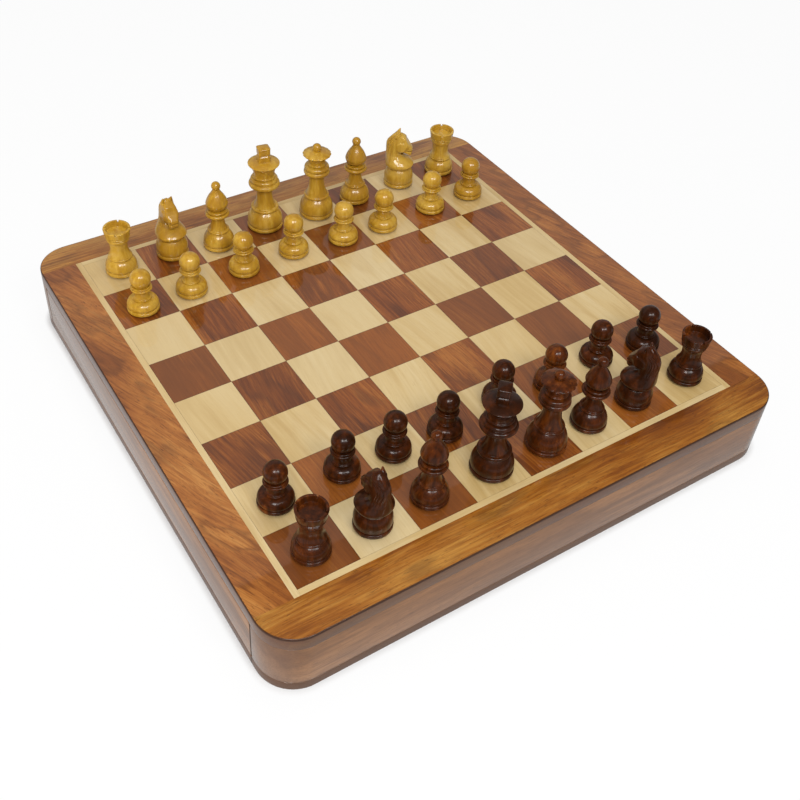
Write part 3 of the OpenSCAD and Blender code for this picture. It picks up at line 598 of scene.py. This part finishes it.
# King and queen up to the rim of the crown, a bell that flares from the cup; gives the rim's height too
def crowned(s):
    collarZ = s["footHeight"] + s["stem"]
    cupZ = collarZ + s["collarThick"] + s["shoulder"] + s["thin"] + edge
    rimZ = collarZ + s["collarThick"] + s["crownHeight"]
    bell = [(s["cup"] + 0.1, cupZ + edge / 2), (s["crown"], rimZ - edge, -0.9), (s["crown"] - 0.15, rimZ, 0.1)]
    return stemmed(s, collarZ) + collar(s, collarZ) + bell, rimZ


def ball(r, z, neck):
    low = -math.acos(neck / r)
    a = low + (math.pi / 2 - low) * np.linspace(0, 1, 2 * arcSteps + 1)
    return [(max(r * math.cos(b), 0.0) if b < math.pi / 2 - 1e-6 else 0.0, z + r * math.sin(b)) for b in a]


def sampled(at, travel, points):
    return np.stack([np.interp(at, travel, points[:, k]) for k in (0, 1)], axis=1)


# Outline with softened corners: even samples, a bell-shaped average over reach, then fewer points on
# the straight stretches. The outline is mirrored at the axis, so that its poles stay round.
def softened(rows, reach=0.11, count=170):
    points, step = outline(rows), 0.04
    points = points[np.append(True, np.hypot(*np.diff(points, axis=0).T) > 1e-6)]
    travel = np.append(0, np.cumsum(np.hypot(*np.diff(points, axis=0).T)))
    dense = sampled(np.append(np.arange(0, travel[-1], step), travel[-1]), travel, points)
    width = int(3 * reach / step)
    mirror = np.array([-1, 1])
    padded = np.concatenate([dense[1:width + 1][::-1] * mirror, dense, dense[-width - 1:-1][::-1] * mirror])
    bell = np.exp(-0.5 * (np.arange(-width, width + 1) * step / reach) ** 2)
    bell /= bell.sum()
    soft = np.stack([np.convolve(padded[:, k], bell, "valid") for k in (0, 1)], axis=1)
    bend = np.hypot(*np.gradient(np.gradient(soft, axis=0), axis=0).T) / step ** 2
    weight = np.cumsum(0.25 + np.sqrt(np.minimum(bend, 12)))
    pick = np.interp(np.linspace(weight[0], weight[-1], count), weight, np.arange(len(weight)))
    soft = sampled(pick, np.arange(len(soft)), soft)
    soft[:, 0] = np.maximum(soft[:, 0], 0)
    soft[[0, -1], 0] = 0
    return soft


# Surface of revolution of a profile; carve changes the radius or the height of its points
def turned(profile, around=96, carve=None):
    angle = np.linspace(0, 2 * np.pi, around, endpoint=False)
    inner = profile[1:-1]
    radius = np.repeat(inner[:, :1], around, axis=1)
    height = np.repeat(inner[:, 1:], around, axis=1)
    if carve:
        radius, height = carve(radius, height, angle[None, :])
    vertices = np.stack([radius * np.cos(angle), radius * np.sin(angle), height], axis=2).reshape(-1, 3)
    vertices = np.concatenate([vertices, [[0, 0, profile[0, 1]], [0, 0, profile[-1, 1]]]])
    rows = len(inner)
    index, quads = band(rows, around)
    low, high = rows * around, rows * around + 1
    fans = [[low, b, a] for a, b in zip(index[0], np.roll(index[0], -1))]
    fans += [[high, a, b] for a, b in zip(index[-1], np.roll(index[-1], -1))]
    return vertices, quads + fans


# Sizes in millimetres; the men share the stem's unless their own looks say otherwise
stemLook = dict(swell=1.0, narrow=3.0, waist=0.8, flare=0.9, under=0.1, flareBow=0.3)
kingLook = dict(
    stemLook, foot=11.0, footHeight=13.4, drawnIn=3.9, beadIn=2.5, bead=2.0, stem=16.3, neck=4.9, spread=1.9,
    collar=9.4, collarThick=3.3, shoulder=2.7, upperIn=0.6, thin=1.0, cup=6.1, crown=9.5, crownHeight=12.5,
    crownUp=1.7, finialWide=7.2, finialDeep=6.4, finialHeight=9.3, notch=0.8)
queenLook = dict(
    stemLook, foot=10.7, footHeight=13.6, drawnIn=4.2, beadIn=2.9, bead=1.4, stem=16.2, neck=4.8, spread=2.1,
    collar=8.0, collarThick=3.1, shoulder=3.0, upperIn=-0.1, thin=0.9, cup=4.9, crown=8.7, crownHeight=10.8,
    ball=2.75, ballTop=6.5, scallops=16, scallop=1.15)
bishopLook = dict(
    stemLook, foot=9.5, footHeight=11.4, drawnIn=4.1, swell=0.8, beadIn=3.0, bead=1.4, stem=11.2, neck=4.0,
    spread=1.5, narrow=2.4, waist=0.5, flare=0.8, collar=7.2, collarThick=2.2, ring=1.5, mitre=6.6,
    mitreHeight=13.8, ball=2.7, ballNeck=1.9, cut=1.0, slant=56)
rookLook = dict(
    stemLook, foot=9.4, footHeight=10.6, drawnIn=3.5, swell=0.8, beadIn=2.4, bead=1.6, stem=12.6, neck=5.3,
    spread=1.4, narrow=3.6, waist=0.7, flare=0.8, under=0.6, flareBow=0.2, tower=7.8, towerHeight=7.6, wall=1.4,
    hollow=3.5, cut=1.0, cutDepth=1.3)
knightLook = dict(foot=9.6, footHeight=12.8, seam=1.0, seamIn=2.6)
pawnLook = dict(
    stemLook, foot=9.2, footHeight=8.6, drawnIn=4.6, beadIn=3.8, bead=1.0, stem=6.3, neck=4.1, spread=0.5,
    narrow=2.835, waist=0.2, flare=0.6, flareBow=0.2, collar=6.1, collarThick=2.3, ball=5.85, ballNeck=4.2)


def king(s):
    rows, rimZ = crowned(s)
    crownZ = rimZ + s["crownUp"]
    rows += [(s["finialWide"] * 0.56, crownZ, 0.35), (0, crownZ)]
    return joined([turned(softened(rows, count=230)), finial(s, crownZ - edge)])


# Squared block with a domed top: a turned profile whose section is a superellipse, with a notch all round
def finial(s, z):
    wide, deep, high, notch = s["finialWide"] / 2, s["finialDeep"] / 2, s["finialHeight"], s["notch"]
    notchZ, power = high * 0.45, 7
    rows = [(0, 0), (1, 0), (1, notchZ - notch), (1 - notch / wide * 0.95, notchZ), (1, notchZ + notch),
            (1, high - 1.1), (0.86, high - 0.15, 0.1), (0, high + 0.35, 0.15)]

    def squared(radius, height, angle):
        section = (np.abs(np.cos(angle) / wide) ** power + np.abs(np.sin(angle) / deep) ** power) ** (-1 / power)
        return radius * np.minimum(section, 1.24 * wide), height

    vertices, faces = turned(softened(rows, 0.1, 60), 64, squared)
    return vertices + [0, 0, z], faces


def queen(s):
    rows, rimZ = crowned(s)
    ballZ, ballNeck = rimZ + s["ballTop"] - s["ball"], s["ball"] * 0.8
    rows += [(ballNeck, ballZ - s["ball"] * 0.6, 0.4)] + ball(s["ball"], ballZ, ballNeck)

    # Scallops: round bites at even angles limit the rim's radius
    def scalloped(radius, height, angle):
        pitch = 2 * np.pi / s["scallops"]
        off = np.abs((angle + pitch / 2) % pitch - pitch / 2)
        centre = s["crown"] + s["scallop"] * 0.6
        side = np.minimum(centre * np.sin(off), s["scallop"])
        limit = centre * np.cos(off) - np.sqrt(s["scallop"] ** 2 - side ** 2)
        bitten = (height > rimZ - 4) & (height < rimZ + 1) & (side < s["scallop"])
        return np.where(bitten, np.minimum(radius, limit), radius), height

    return turned(softened(rows, count=230), 144, scalloped)


def bishop(s):
    collarZ = s["footHeight"] + s["stem"]
    ringZ = collarZ + s["collarThick"]
    mitreZ = ringZ + s["ring"] + edge
    mitreTop = mitreZ + s["mitreHeight"]
    rows = (stemmed(s, collarZ) + ring(s["collar"], collarZ, s["collarThick"])
            + [(s["collar"] - 2.3, ringZ + 0.1)] + ring(s["collar"] - 1.0, ringZ + edge / 2, s["ring"])
            + [(s["mitre"] - 2.7, mitreZ + 0.1), (s["mitre"], mitreZ + s["mitreHeight"] * 0.32, 0.7),
               (s["ballNeck"] + 1.6, mitreTop - 3, 0.35), (s["ballNeck"], mitreTop, -0.1)]
            + ball(s["ball"], mitreTop + math.sqrt(s["ball"] ** 2 - s["ballNeck"] ** 2), s["ballNeck"]))
    # The saw cut is a thin slab that slants up and out from a third of the way up the mitre
    wide, half, slant = s["mitre"] + 1, s["cut"] / 2, math.radians(s["slant"])
    cutter, faces = slab((0, -wide, -half), (2 * s["mitre"], wide, half), 0.02)
    lean = [[math.cos(slant), 0, math.sin(slant)], [0, 1, 0], [-math.sin(slant), 0, math.cos(slant)]]
    cutter = cutter @ lean + [s["mitre"] * 0.3, 0, mitreZ + s["mitreHeight"] * 0.36]
    return sawn(turned(softened(rows, count=210)), [(cutter, faces)])


def groove(r, z):
    return [(r, z - 0.3), (r - 0.45, z), (r, z + 0.3)]


def rook(s):
    towerZ, r = s["footHeight"] + s["stem"], s["tower"]
    rimZ = towerZ + s["towerHeight"]
    hollow, floorZ = r - s["wall"], rimZ - s["hollow"]
    rows = (stemmed(s, towerZ) + [(r - 1.3, towerZ + 0.5, 0.2)]
            + groove(r - 1.0, towerZ + 1.6) + groove(r - 0.6, towerZ + 2.9)
            + [(r, rimZ - edge), (r - edge, rimZ, 0.1), (hollow, rimZ), (hollow - edge, floorZ), (0, floorZ)])
    cuts = [slab((-a, -b, rimZ - s["cutDepth"]), (a, b, rimZ + 1), 0.02)
            for a, b in ((r + 1, s["cut"] / 2), (s["cut"] / 2, r + 1))]
    return sawn(turned(softened(rows, count=210)), cuts)


def pawn(s):
    collarZ, t = s["footHeight"] + s["stem"], s["collarThick"]
    upperZ = collarZ + t * 0.6
    ballZ = collarZ + t + edge / 2 + math.sqrt(s["ball"] ** 2 - s["ballNeck"] ** 2)
    rows = (stemmed(s, collarZ) + ring(s["collar"], collarZ, t * 0.6) + [(s["collar"] - 1.0, upperZ + 0.1)]
            + ring(s["collar"] - 0.5, upperZ + 0.25, t * 0.4) + ball(s["ball"], ballZ, s["ballNeck"]))
    return turned(softened(rows, count=180))


# The knight's foot ends in a seam, and the horse stands on it
def knight(s):
    seamRadius, seamZ = s["foot"] - s["seamIn"], s["footHeight"] + s["seam"]
    rows = (foot(s["foot"], seamRadius + 0.3, s["footHeight"] - 0.2, 0.75)
            + [(seamRadius - 0.3, s["footHeight"] + 0.2), (seamRadius - 0.3, seamZ + edge), (0, seamZ + edge)])
    carved, faces = horse(horseLook)
    return joined([turned(softened(rows, count=120)), (carved + [0, 0, seamZ], faces)])


# The body less its cutters, by Blender's exact boolean
def sawn(body, cutters):
    work, helpers = meshObject("work", *body), [meshObject("cutter", *cutter) for cutter in cutters]
    for helper in helpers:
        cut = work.modifiers.new("cut", "BOOLEAN")
        cut.operation, cut.solver, cut.object = "DIFFERENCE", "EXACT", helper
    bpy.context.view_layer.update()
    mesh = bpy.data.meshes.new_from_object(work.evaluated_get(bpy.context.evaluated_depsgraph_get()))
    points = np.empty(len(mesh.vertices) * 3)
    mesh.vertices.foreach_get("co", points)
    faces = [list(face.vertices) for face in mesh.polygons]
    for done in [work] + helpers:
        bpy.data.objects.remove(done)
    return points.reshape(-1, 3), faces


# The horse, as the level set of a field in millimetres: x forward, z up from the seam. The neck is a stack of
# ellipses; the head is its side view carried out to a width that changes along the face; both melt together,
# then ears are added and the mouth, eyes, nostrils, throat and strands of the mane cut in.
horseLook = dict(
    step=0.27, gridLow=(-10.2, -10, -0.6), gridHigh=(9.6, 10.01, 26.6),
    # height, back, front, half width
    neck=[(0, -7.1, 7.1, 7.1), (0.5, -8.1, 8.1, 8.1), (1.2, -8.8, 8.8, 8.8), (2.4, -9.2, 9.2, 9.1),
          (3.6, -9.25, 8.2, 8.7), (5.2, -9.2, 6.3, 7.6), (7.0, -9.15, 3.3, 6.2), (9.0, -9.1, 0.9, 5.2),
          (11, -9.1, 0.5, 4.7), (14, -9.2, 1.2, 4.4), (17, -9.1, 1.6, 4.2), (19, -8.3, 2.0, 4.0),
          (21, -6.5, 2.2, 3.7), (22.6, -4.9, 1.2, 3.2), (23.6, -3.7, 0.2, 2.4), (24.4, -2.6, -0.9, 1.2)],
    # x and z round the side view, from the nape over the forehead and nose to the throat
    head=[(-3.5, 20.5), (-2.0, 22.8), (0.2, 22.9), (2.0, 22.2), (3.3, 21.2), (4.1, 19.0), (5.2, 17.2),
          (6.5, 15.6), (7.6, 14.2), (8.0, 12.9), (7.5, 11.9), (7.7, 10.8), (7.4, 9.6), (6.3, 8.6), (5.2, 8.9),
          (3.9, 10.0), (2.2, 10.6), (-0.3, 11.2), (-2.6, 13.0), (-3.8, 16.5)],
    cheekWidth=4.3, noseWidth=2.9, cheekPlace=(0.4, 14.9), cheekRound=3.5,
    throat=((6.2, 0, 7.0), (0.4, 0, 9.3), 0.8, 1.5),
    ear=((-2.1, 2.1, 21.8), (-0.9, 2.6, 25.3), 1.9, 0.45),
    earHollow=((-0.4, 2.5, 22.8), (-0.2, 2.7, 24.8), 0.5, 0.15),
    mouth=[(9.5, 12.0), (9.5, 11.55), (4.4, 12.0), (4.2, 12.3), (4.4, 12.45)],
    socket=((1.9, 4.25, 19.0), 1.15, (1, 1.2, 1.25)), eye=((1.9, 3.1, 19.0), 0.75),
    nostril=((6.9, 2.3, 13.2), 0.55, (1, 1, 1.3)),
    strandWidth=1.15, strandDepth=0.20, maneDepth=0.32)


# Distance in side view to the edge of a polygon, less than nought within it
def edgeDistance(x, z, corners):
    corners = np.array(corners, float)
    least = np.full(x.shape, 99.0)
    within = np.zeros(x.shape, bool)
    for (ax, az), (bx, bz) in zip(corners, np.roll(corners, -1, axis=0)):
        share = np.clip(((x - ax) * (bx - ax) + (z - az) * (bz - az)) / ((bx - ax) ** 2 + (bz - az) ** 2), 0, 1)
        least = np.minimum(least, np.hypot(x - ax - share * (bx - ax), z - az - share * (bz - az)))
        within ^= ((az > z) != (bz > z)) & (x < (bx - ax) * (z - az) / (bz - az + 1e-12) + ax)
    return np.where(within, -least, least)


def melted(a, b, width):        # the lesser of two fields, with a fillet
    near = np.maximum(width - np.abs(a - b), 0) / width
    return np.minimum(a, b) - near ** 2 * width / 4


def cutAway(field, tool, width):
    return -melted(-field, tool, width)


def rodDistance(place, start, end, wide, thin):
    way = np.subtract(end, start)
    offset = [p - a for p, a in zip(place, start)]
    share = np.clip(sum(d * w for d, w in zip(offset, way)) / (way @ way), 0, 1)
    return np.sqrt(sum((d - share * w) ** 2 for d, w in zip(offset, way))) - (wide + (thin - wide) * share)


def ballDistance(place, centre, r, squeeze=(1, 1, 1)):
    return np.sqrt(sum(((p - c) * k) ** 2 for p, c, k in zip(place, centre, squeeze))) - r


def horse(s):
    x, y, z = np.meshgrid(*[np.arange(a, b, s["step"]) for a, b in zip(s["gridLow"], s["gridHigh"])], indexing="ij")
    side = np.abs(y)
    place = (x, side, z)
    height, back, front, half = np.array(s["neck"], float).T
    b, f, w = [np.interp(z, height, line) for line in (back, front, half)]
    centre, long = (b + f) / 2, (f - b) / 2
    ratio = (np.abs((x - centre) / long) ** 2.2 + (side / w) ** 2.2) ** (1 / 2.2)
    field = np.maximum((ratio - 1) * np.minimum(long, w), np.maximum(-z, z - height[-1]))
    # The head is widest at the cheek and narrows down the face and towards the poll
    cheek, nose = s["cheekWidth"], s["noseWidth"]
    wide = np.interp(x * 0.75 - (z - 16) * 0.65, [-2, 3.0, 5.5, 9], [cheek - 0.3, cheek, nose + 0.3, nose])
    wide = wide - 0.9 * np.clip((z - 18.5) / 4, 0, 1)
    head = cutAway(edgeDistance(x, z, s["head"]), wide - side, 1.7)
    jaw = ballDistance((x, z), s["cheekPlace"], s["cheekRound"])
    head = melted(head, cutAway(jaw, cheek + 0.35 - side, 1.2), 0.4)
    field = cutAway(melted(field, head, 0.7), rodDistance(place, *s["throat"]), 0.8)
    # Crest along the back, with long strands beside it
    depth = x - np.interp(z, height, back)
    strands = s["strandDepth"] * np.sin((depth + 0.35 * np.sin(z * 0.5)) * 2 * np.pi / s["strandWidth"])
    mane = np.clip(5.0 - depth, 0, 1) * np.clip((z - 7.5) / 2.5, 0, 1) * np.clip(depth / 0.8, 0, 1) * (side > 0.6)
    field = melted(field + mane * (s["maneDepth"] + strands), rodDistance(place, *s["ear"]), 0.6)
    field = cutAway(field, rodDistance(place, *s["earHollow"]), 0.3)
    field = cutAway(field, edgeDistance(x, z, s["mouth"]), 0.25)
    field = cutAway(field, ballDistance(place, *s["socket"]), 0.4)
    field = melted(field, ballDistance(place, *s["eye"]), 0.15)
    field = cutAway(field, ballDistance(place, *s["nostril"]), 0.3)
    return skinned(field, np.array(s["gridLow"]), s["step"])


# Surface where a field passes through nought: a vertex in each cell that the surface crosses, at the mean
# of the crossings on its edges, and a quad across each grid edge that it cuts
def skinned(field, low, step):
    cells = tuple(n - 1 for n in field.shape)
    total, count = np.zeros(cells + (3,)), np.zeros(cells)
    inside = field < 0
    edges = []
    for axis in range(3):
        there = np.argwhere(np.diff(inside, axis=axis))
        onward = there.copy()
        onward[:, axis] += 1
        a, b = field[tuple(there.T)], field[tuple(onward.T)]
        point = there.astype(float)
        point[:, axis] += a / (a - b)
        first, second = (axis + 1) % 3, (axis + 2) % 3
        around = []
        for i, j in ((0, 0), (1, 0), (1, 1), (0, 1)):
            cell = there.copy()
            cell[:, first] -= i
            cell[:, second] -= j
            np.add.at(total, tuple(cell.T), point)
            np.add.at(count, tuple(cell.T), 1)
            around.append(cell)
        edges.append((np.stack(around, axis=1), a < 0))
    number = np.cumsum(count.ravel() > 0).reshape(cells) - 1
    used = count > 0
    vertices = low + step * total[used] / count[used][:, None]
    quads = []
    for around, leaving in edges:
        quad = number[tuple(np.moveaxis(around, 2, 0))]
        quads.append(np.where(leaving[:, None], quad[:, ::-1], quad))
    return vertices, np.concatenate(quads).tolist()


# ---- men: set out ----
pawns = 8
officers = ["rook_left", "knight_left", "bishop_left", "king", "queen", "bishop_right", "knight_right", "rook_right"]
turns = {"light": [62, -90, 30, -10, 0, 105, -35, 58], "dark": [40, 95, 20, 45, 10, 35, 110, 70]}     # degrees
shades = {"light": [0.5, 0.4, 0.3, 0.5, 0.5, 0.2, 0.6, 0.5, 0.7, 0.6, 0.3, 0.6, 0.5, 0.6, 0.5, 0.3],
          "dark": [0.5, 0.1, 0.5, 0.2, 0.6, 0.4, 0.45, 0.3, 0.2, 0.5, 0.35, 0.3, 0.3, 0.65, 0.3, 0.15]}
kinds = {"king": (king, kingLook), "queen": (queen, queenLook), "bishop": (bishop, bishopLook),
         "rook": (rook, rookLook), "knight": (knight, knightLook), "pawn": (pawn, pawnLook)}
shapes = {kind: make(look) for kind, (make, look) in kinds.items()}
print("stage: outlines turned")


def setOut(tone, name, kind, material, turn, seed, shade):
    node, slot = f"{tone}_{name}", tone + "_man_wood"
    low, high = [np.array(place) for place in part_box(node)]
    middle = np.array([(low[0] + high[0]) / 2, (low[1] + high[1]) / 2, low[2]])
    vertices, faces = shapes[kind]
    a = math.radians(turn)
    spin = np.array([[math.cos(a), math.sin(a), 0], [-math.sin(a), math.cos(a), 0], [0, 0, 1]])
    man = piece(node + "_wood", vertices @ spin * mm + middle, faces, material, node + "_man", (node,), 2, seed,
                middle, slot, shade)
    smooth(man, 42)
    disc, top = kinds[kind][1]["foot"] - feltInset, feltThickness - 0.05
    pad, faces = turned(softened([(0, 0), (disc, 0), (disc, top), (0, top)], 0.08, 24), 64)
    felt = piece(node + "_felt", pad * mm + middle, faces, baize, node + "_man", (), 2, seed, middle, slot)
    smooth(felt, 50)


seed = 100
for tone, material in (("light", lightManWood), ("dark", darkManWood)):
    men = [(officer, officer.split("_")[0], turn) for officer, turn in zip(officers, turns[tone])]
    men += [(f"pawn_{number}", "pawn", 37 * number) for number in range(1, pawns + 1)]
    for (name, kind, turn), shade in zip(men, shades[tone]):
        setOut(tone, name, kind, material, turn, seed, shade)
        seed += 1
print("stage: men set out")

# ---- floor, world and lamps ----
studio = dict(
    # floorBeside: the floor's strength in gloss past the box's left side, a painted pool of light
    floorColour=(0.80, 0.80, 0.80), floorGlow=0.90, floorMirrored=0.50, floorBeside=0.60,
    contactGlow=0.15, shadowWide=4 * mm, besideFrom=(-0.16, -0.14), worldSoft=0.33, worldGlossy=0.10,
    floorReach=6, floorLow=-0.3 * mm, aimHeight=0.04,
    cardFrom=(-1.6, 1.0, 0.30), cardTo=(2.8, 1.0, 1.78), cardGlow=0.45)


def stagePlane(name, corners, material):
    made = meshObject(name, corners, [list(range(len(corners)))], material)
    return made


# Surface that the camera sees as white by the share glow, and that shows in gloss at the strength mirrored, or
# at the strength beside where it lies past the box's left side: a pool of light painted on the floor as seen in gloss
def whitened(paint, shade, glow, mirrored, beside):
    rays = paint.node("LightPath").socket.node.outputs
    white = paint.node("Emission", {}, {"Color": (1, 1, 1, 1), "Strength": 1.0})
    x = paint.apart(paint.node("NewGeometry"))[0]
    tint = paint.mix(paint.between(x, *studio["besideFrom"]), (beside,) * 3, (mirrored,) * 3)
    pale = paint.node("Emission", {}, {"Color": tint, "Strength": 1.0})
    surface = paint.node("MixShader", {}, {0: Wire(paint, rays["Is Camera Ray"]) * glow, 1: shade, 2: white})
    return paint.node("MixShader", {}, {0: Wire(paint, rays["Is Glossy Ray"]), 1: surface, 2: pale})


# The floor whitens past a narrow band round the box's plan, found by the distance from its rounded corners' centres
floorPaint = newPaint("floor")
inner = cadBounds[1][0] - corner
x, y, _ = floorPaint.apart(floorPaint.node("NewGeometry"))
across, along = [floorPaint.maths("MAXIMUM", abs(way) - inner, 0.0) for way in (x, y)]
away = floorPaint.maths("SQRT", across * across + along * along)
clear = floorPaint.between(away, corner, corner + studio["shadowWide"], studio["contactGlow"], studio["floorGlow"])
floorShade = floorPaint.node("BsdfDiffuse", {}, {"Color": (*studio["floorColour"], 1)})
floorPaint.done(whitened(floorPaint, floorShade, clear, studio["floorMirrored"], studio["floorBeside"]))
far, low = studio["floorReach"], studio["floorLow"]
stagePlane("floor", [(-far, -far, low), (far, -far, low), (far, far, low), (-far, far, low)], floorPaint.owner)

cardPaint = newPaint("card")
cardPaint.done(cardPaint.node("Emission", {}, {"Color": (1, 1, 1, 1), "Strength": studio["cardGlow"]}))
(cx0, cy, cz0), (cx1, _, cz1) = studio["cardFrom"], studio["cardTo"]
card = stagePlane("card", [(cx0, cy, cz0), (cx1, cy, cz0), (cx1, cy, cz1), (cx0, cy, cz1)], cardPaint.owner)
card.visible_camera = card.visible_diffuse = card.visible_shadow = card.visible_transmission = False

sky = Paint(bpy.data.worlds.new("world"))
bpy.context.scene.world = sky.owner
path = sky.node("LightPath").socket.node.outputs
asCamera, asGlossy = Wire(sky, path["Is Camera Ray"]), Wire(sky, path["Is Glossy Ray"])
strength = asCamera + (1 - asCamera) * (asGlossy * studio["worldGlossy"] + (1 - asGlossy) * studio["worldSoft"])
sky.done(sky.node("Background", {}, {"Color": (1, 1, 1, 1), "Strength": strength}), "OutputWorld")

lamps = [
    {"name": "windowLeft", "place": (-0.60, -0.70, 1.05), "size": (0.36, 0.40), "power": 7},
    {"name": "windowMiddle", "place": (-0.27, -0.93, 1.05), "size": (0.30, 0.34), "power": 2},
    {"name": "windowRight", "place": (0.08, -1.00, 1.05), "size": (0.36, 0.40), "power": 5.5},
    {"name": "leftFill", "place": (-1.3, 0.05, 0.25), "size": (0.7, 0.4), "power": 7.0, "mirrored": False},
    {"name": "overhead", "place": (0.1, 0.1, 1.5), "size": (0.9, 0.9), "power": 6.5, "mirrored": False},
]
for lampLook in lamps:
    light = bpy.data.lights.new(lampLook["name"], "AREA")
    light.shape, (light.size, light.size_y), light.energy = "RECTANGLE", lampLook["size"], lampLook["power"]
    lamp = bpy.data.objects.new(lampLook["name"], light)
    lamp.location = lampLook["place"]
    aim = np.array([0, 0, studio["aimHeight"]]) - lampLook["place"]
    lamp.rotation_euler = (math.acos(-aim[2] / np.linalg.norm(aim)), 0, math.atan2(aim[1], aim[0]) - math.pi / 2)
    lamp.visible_glossy = lampLook.get("mirrored", True)
    bpy.context.scene.collection.objects.link(lamp)
print("stage: studio lit")
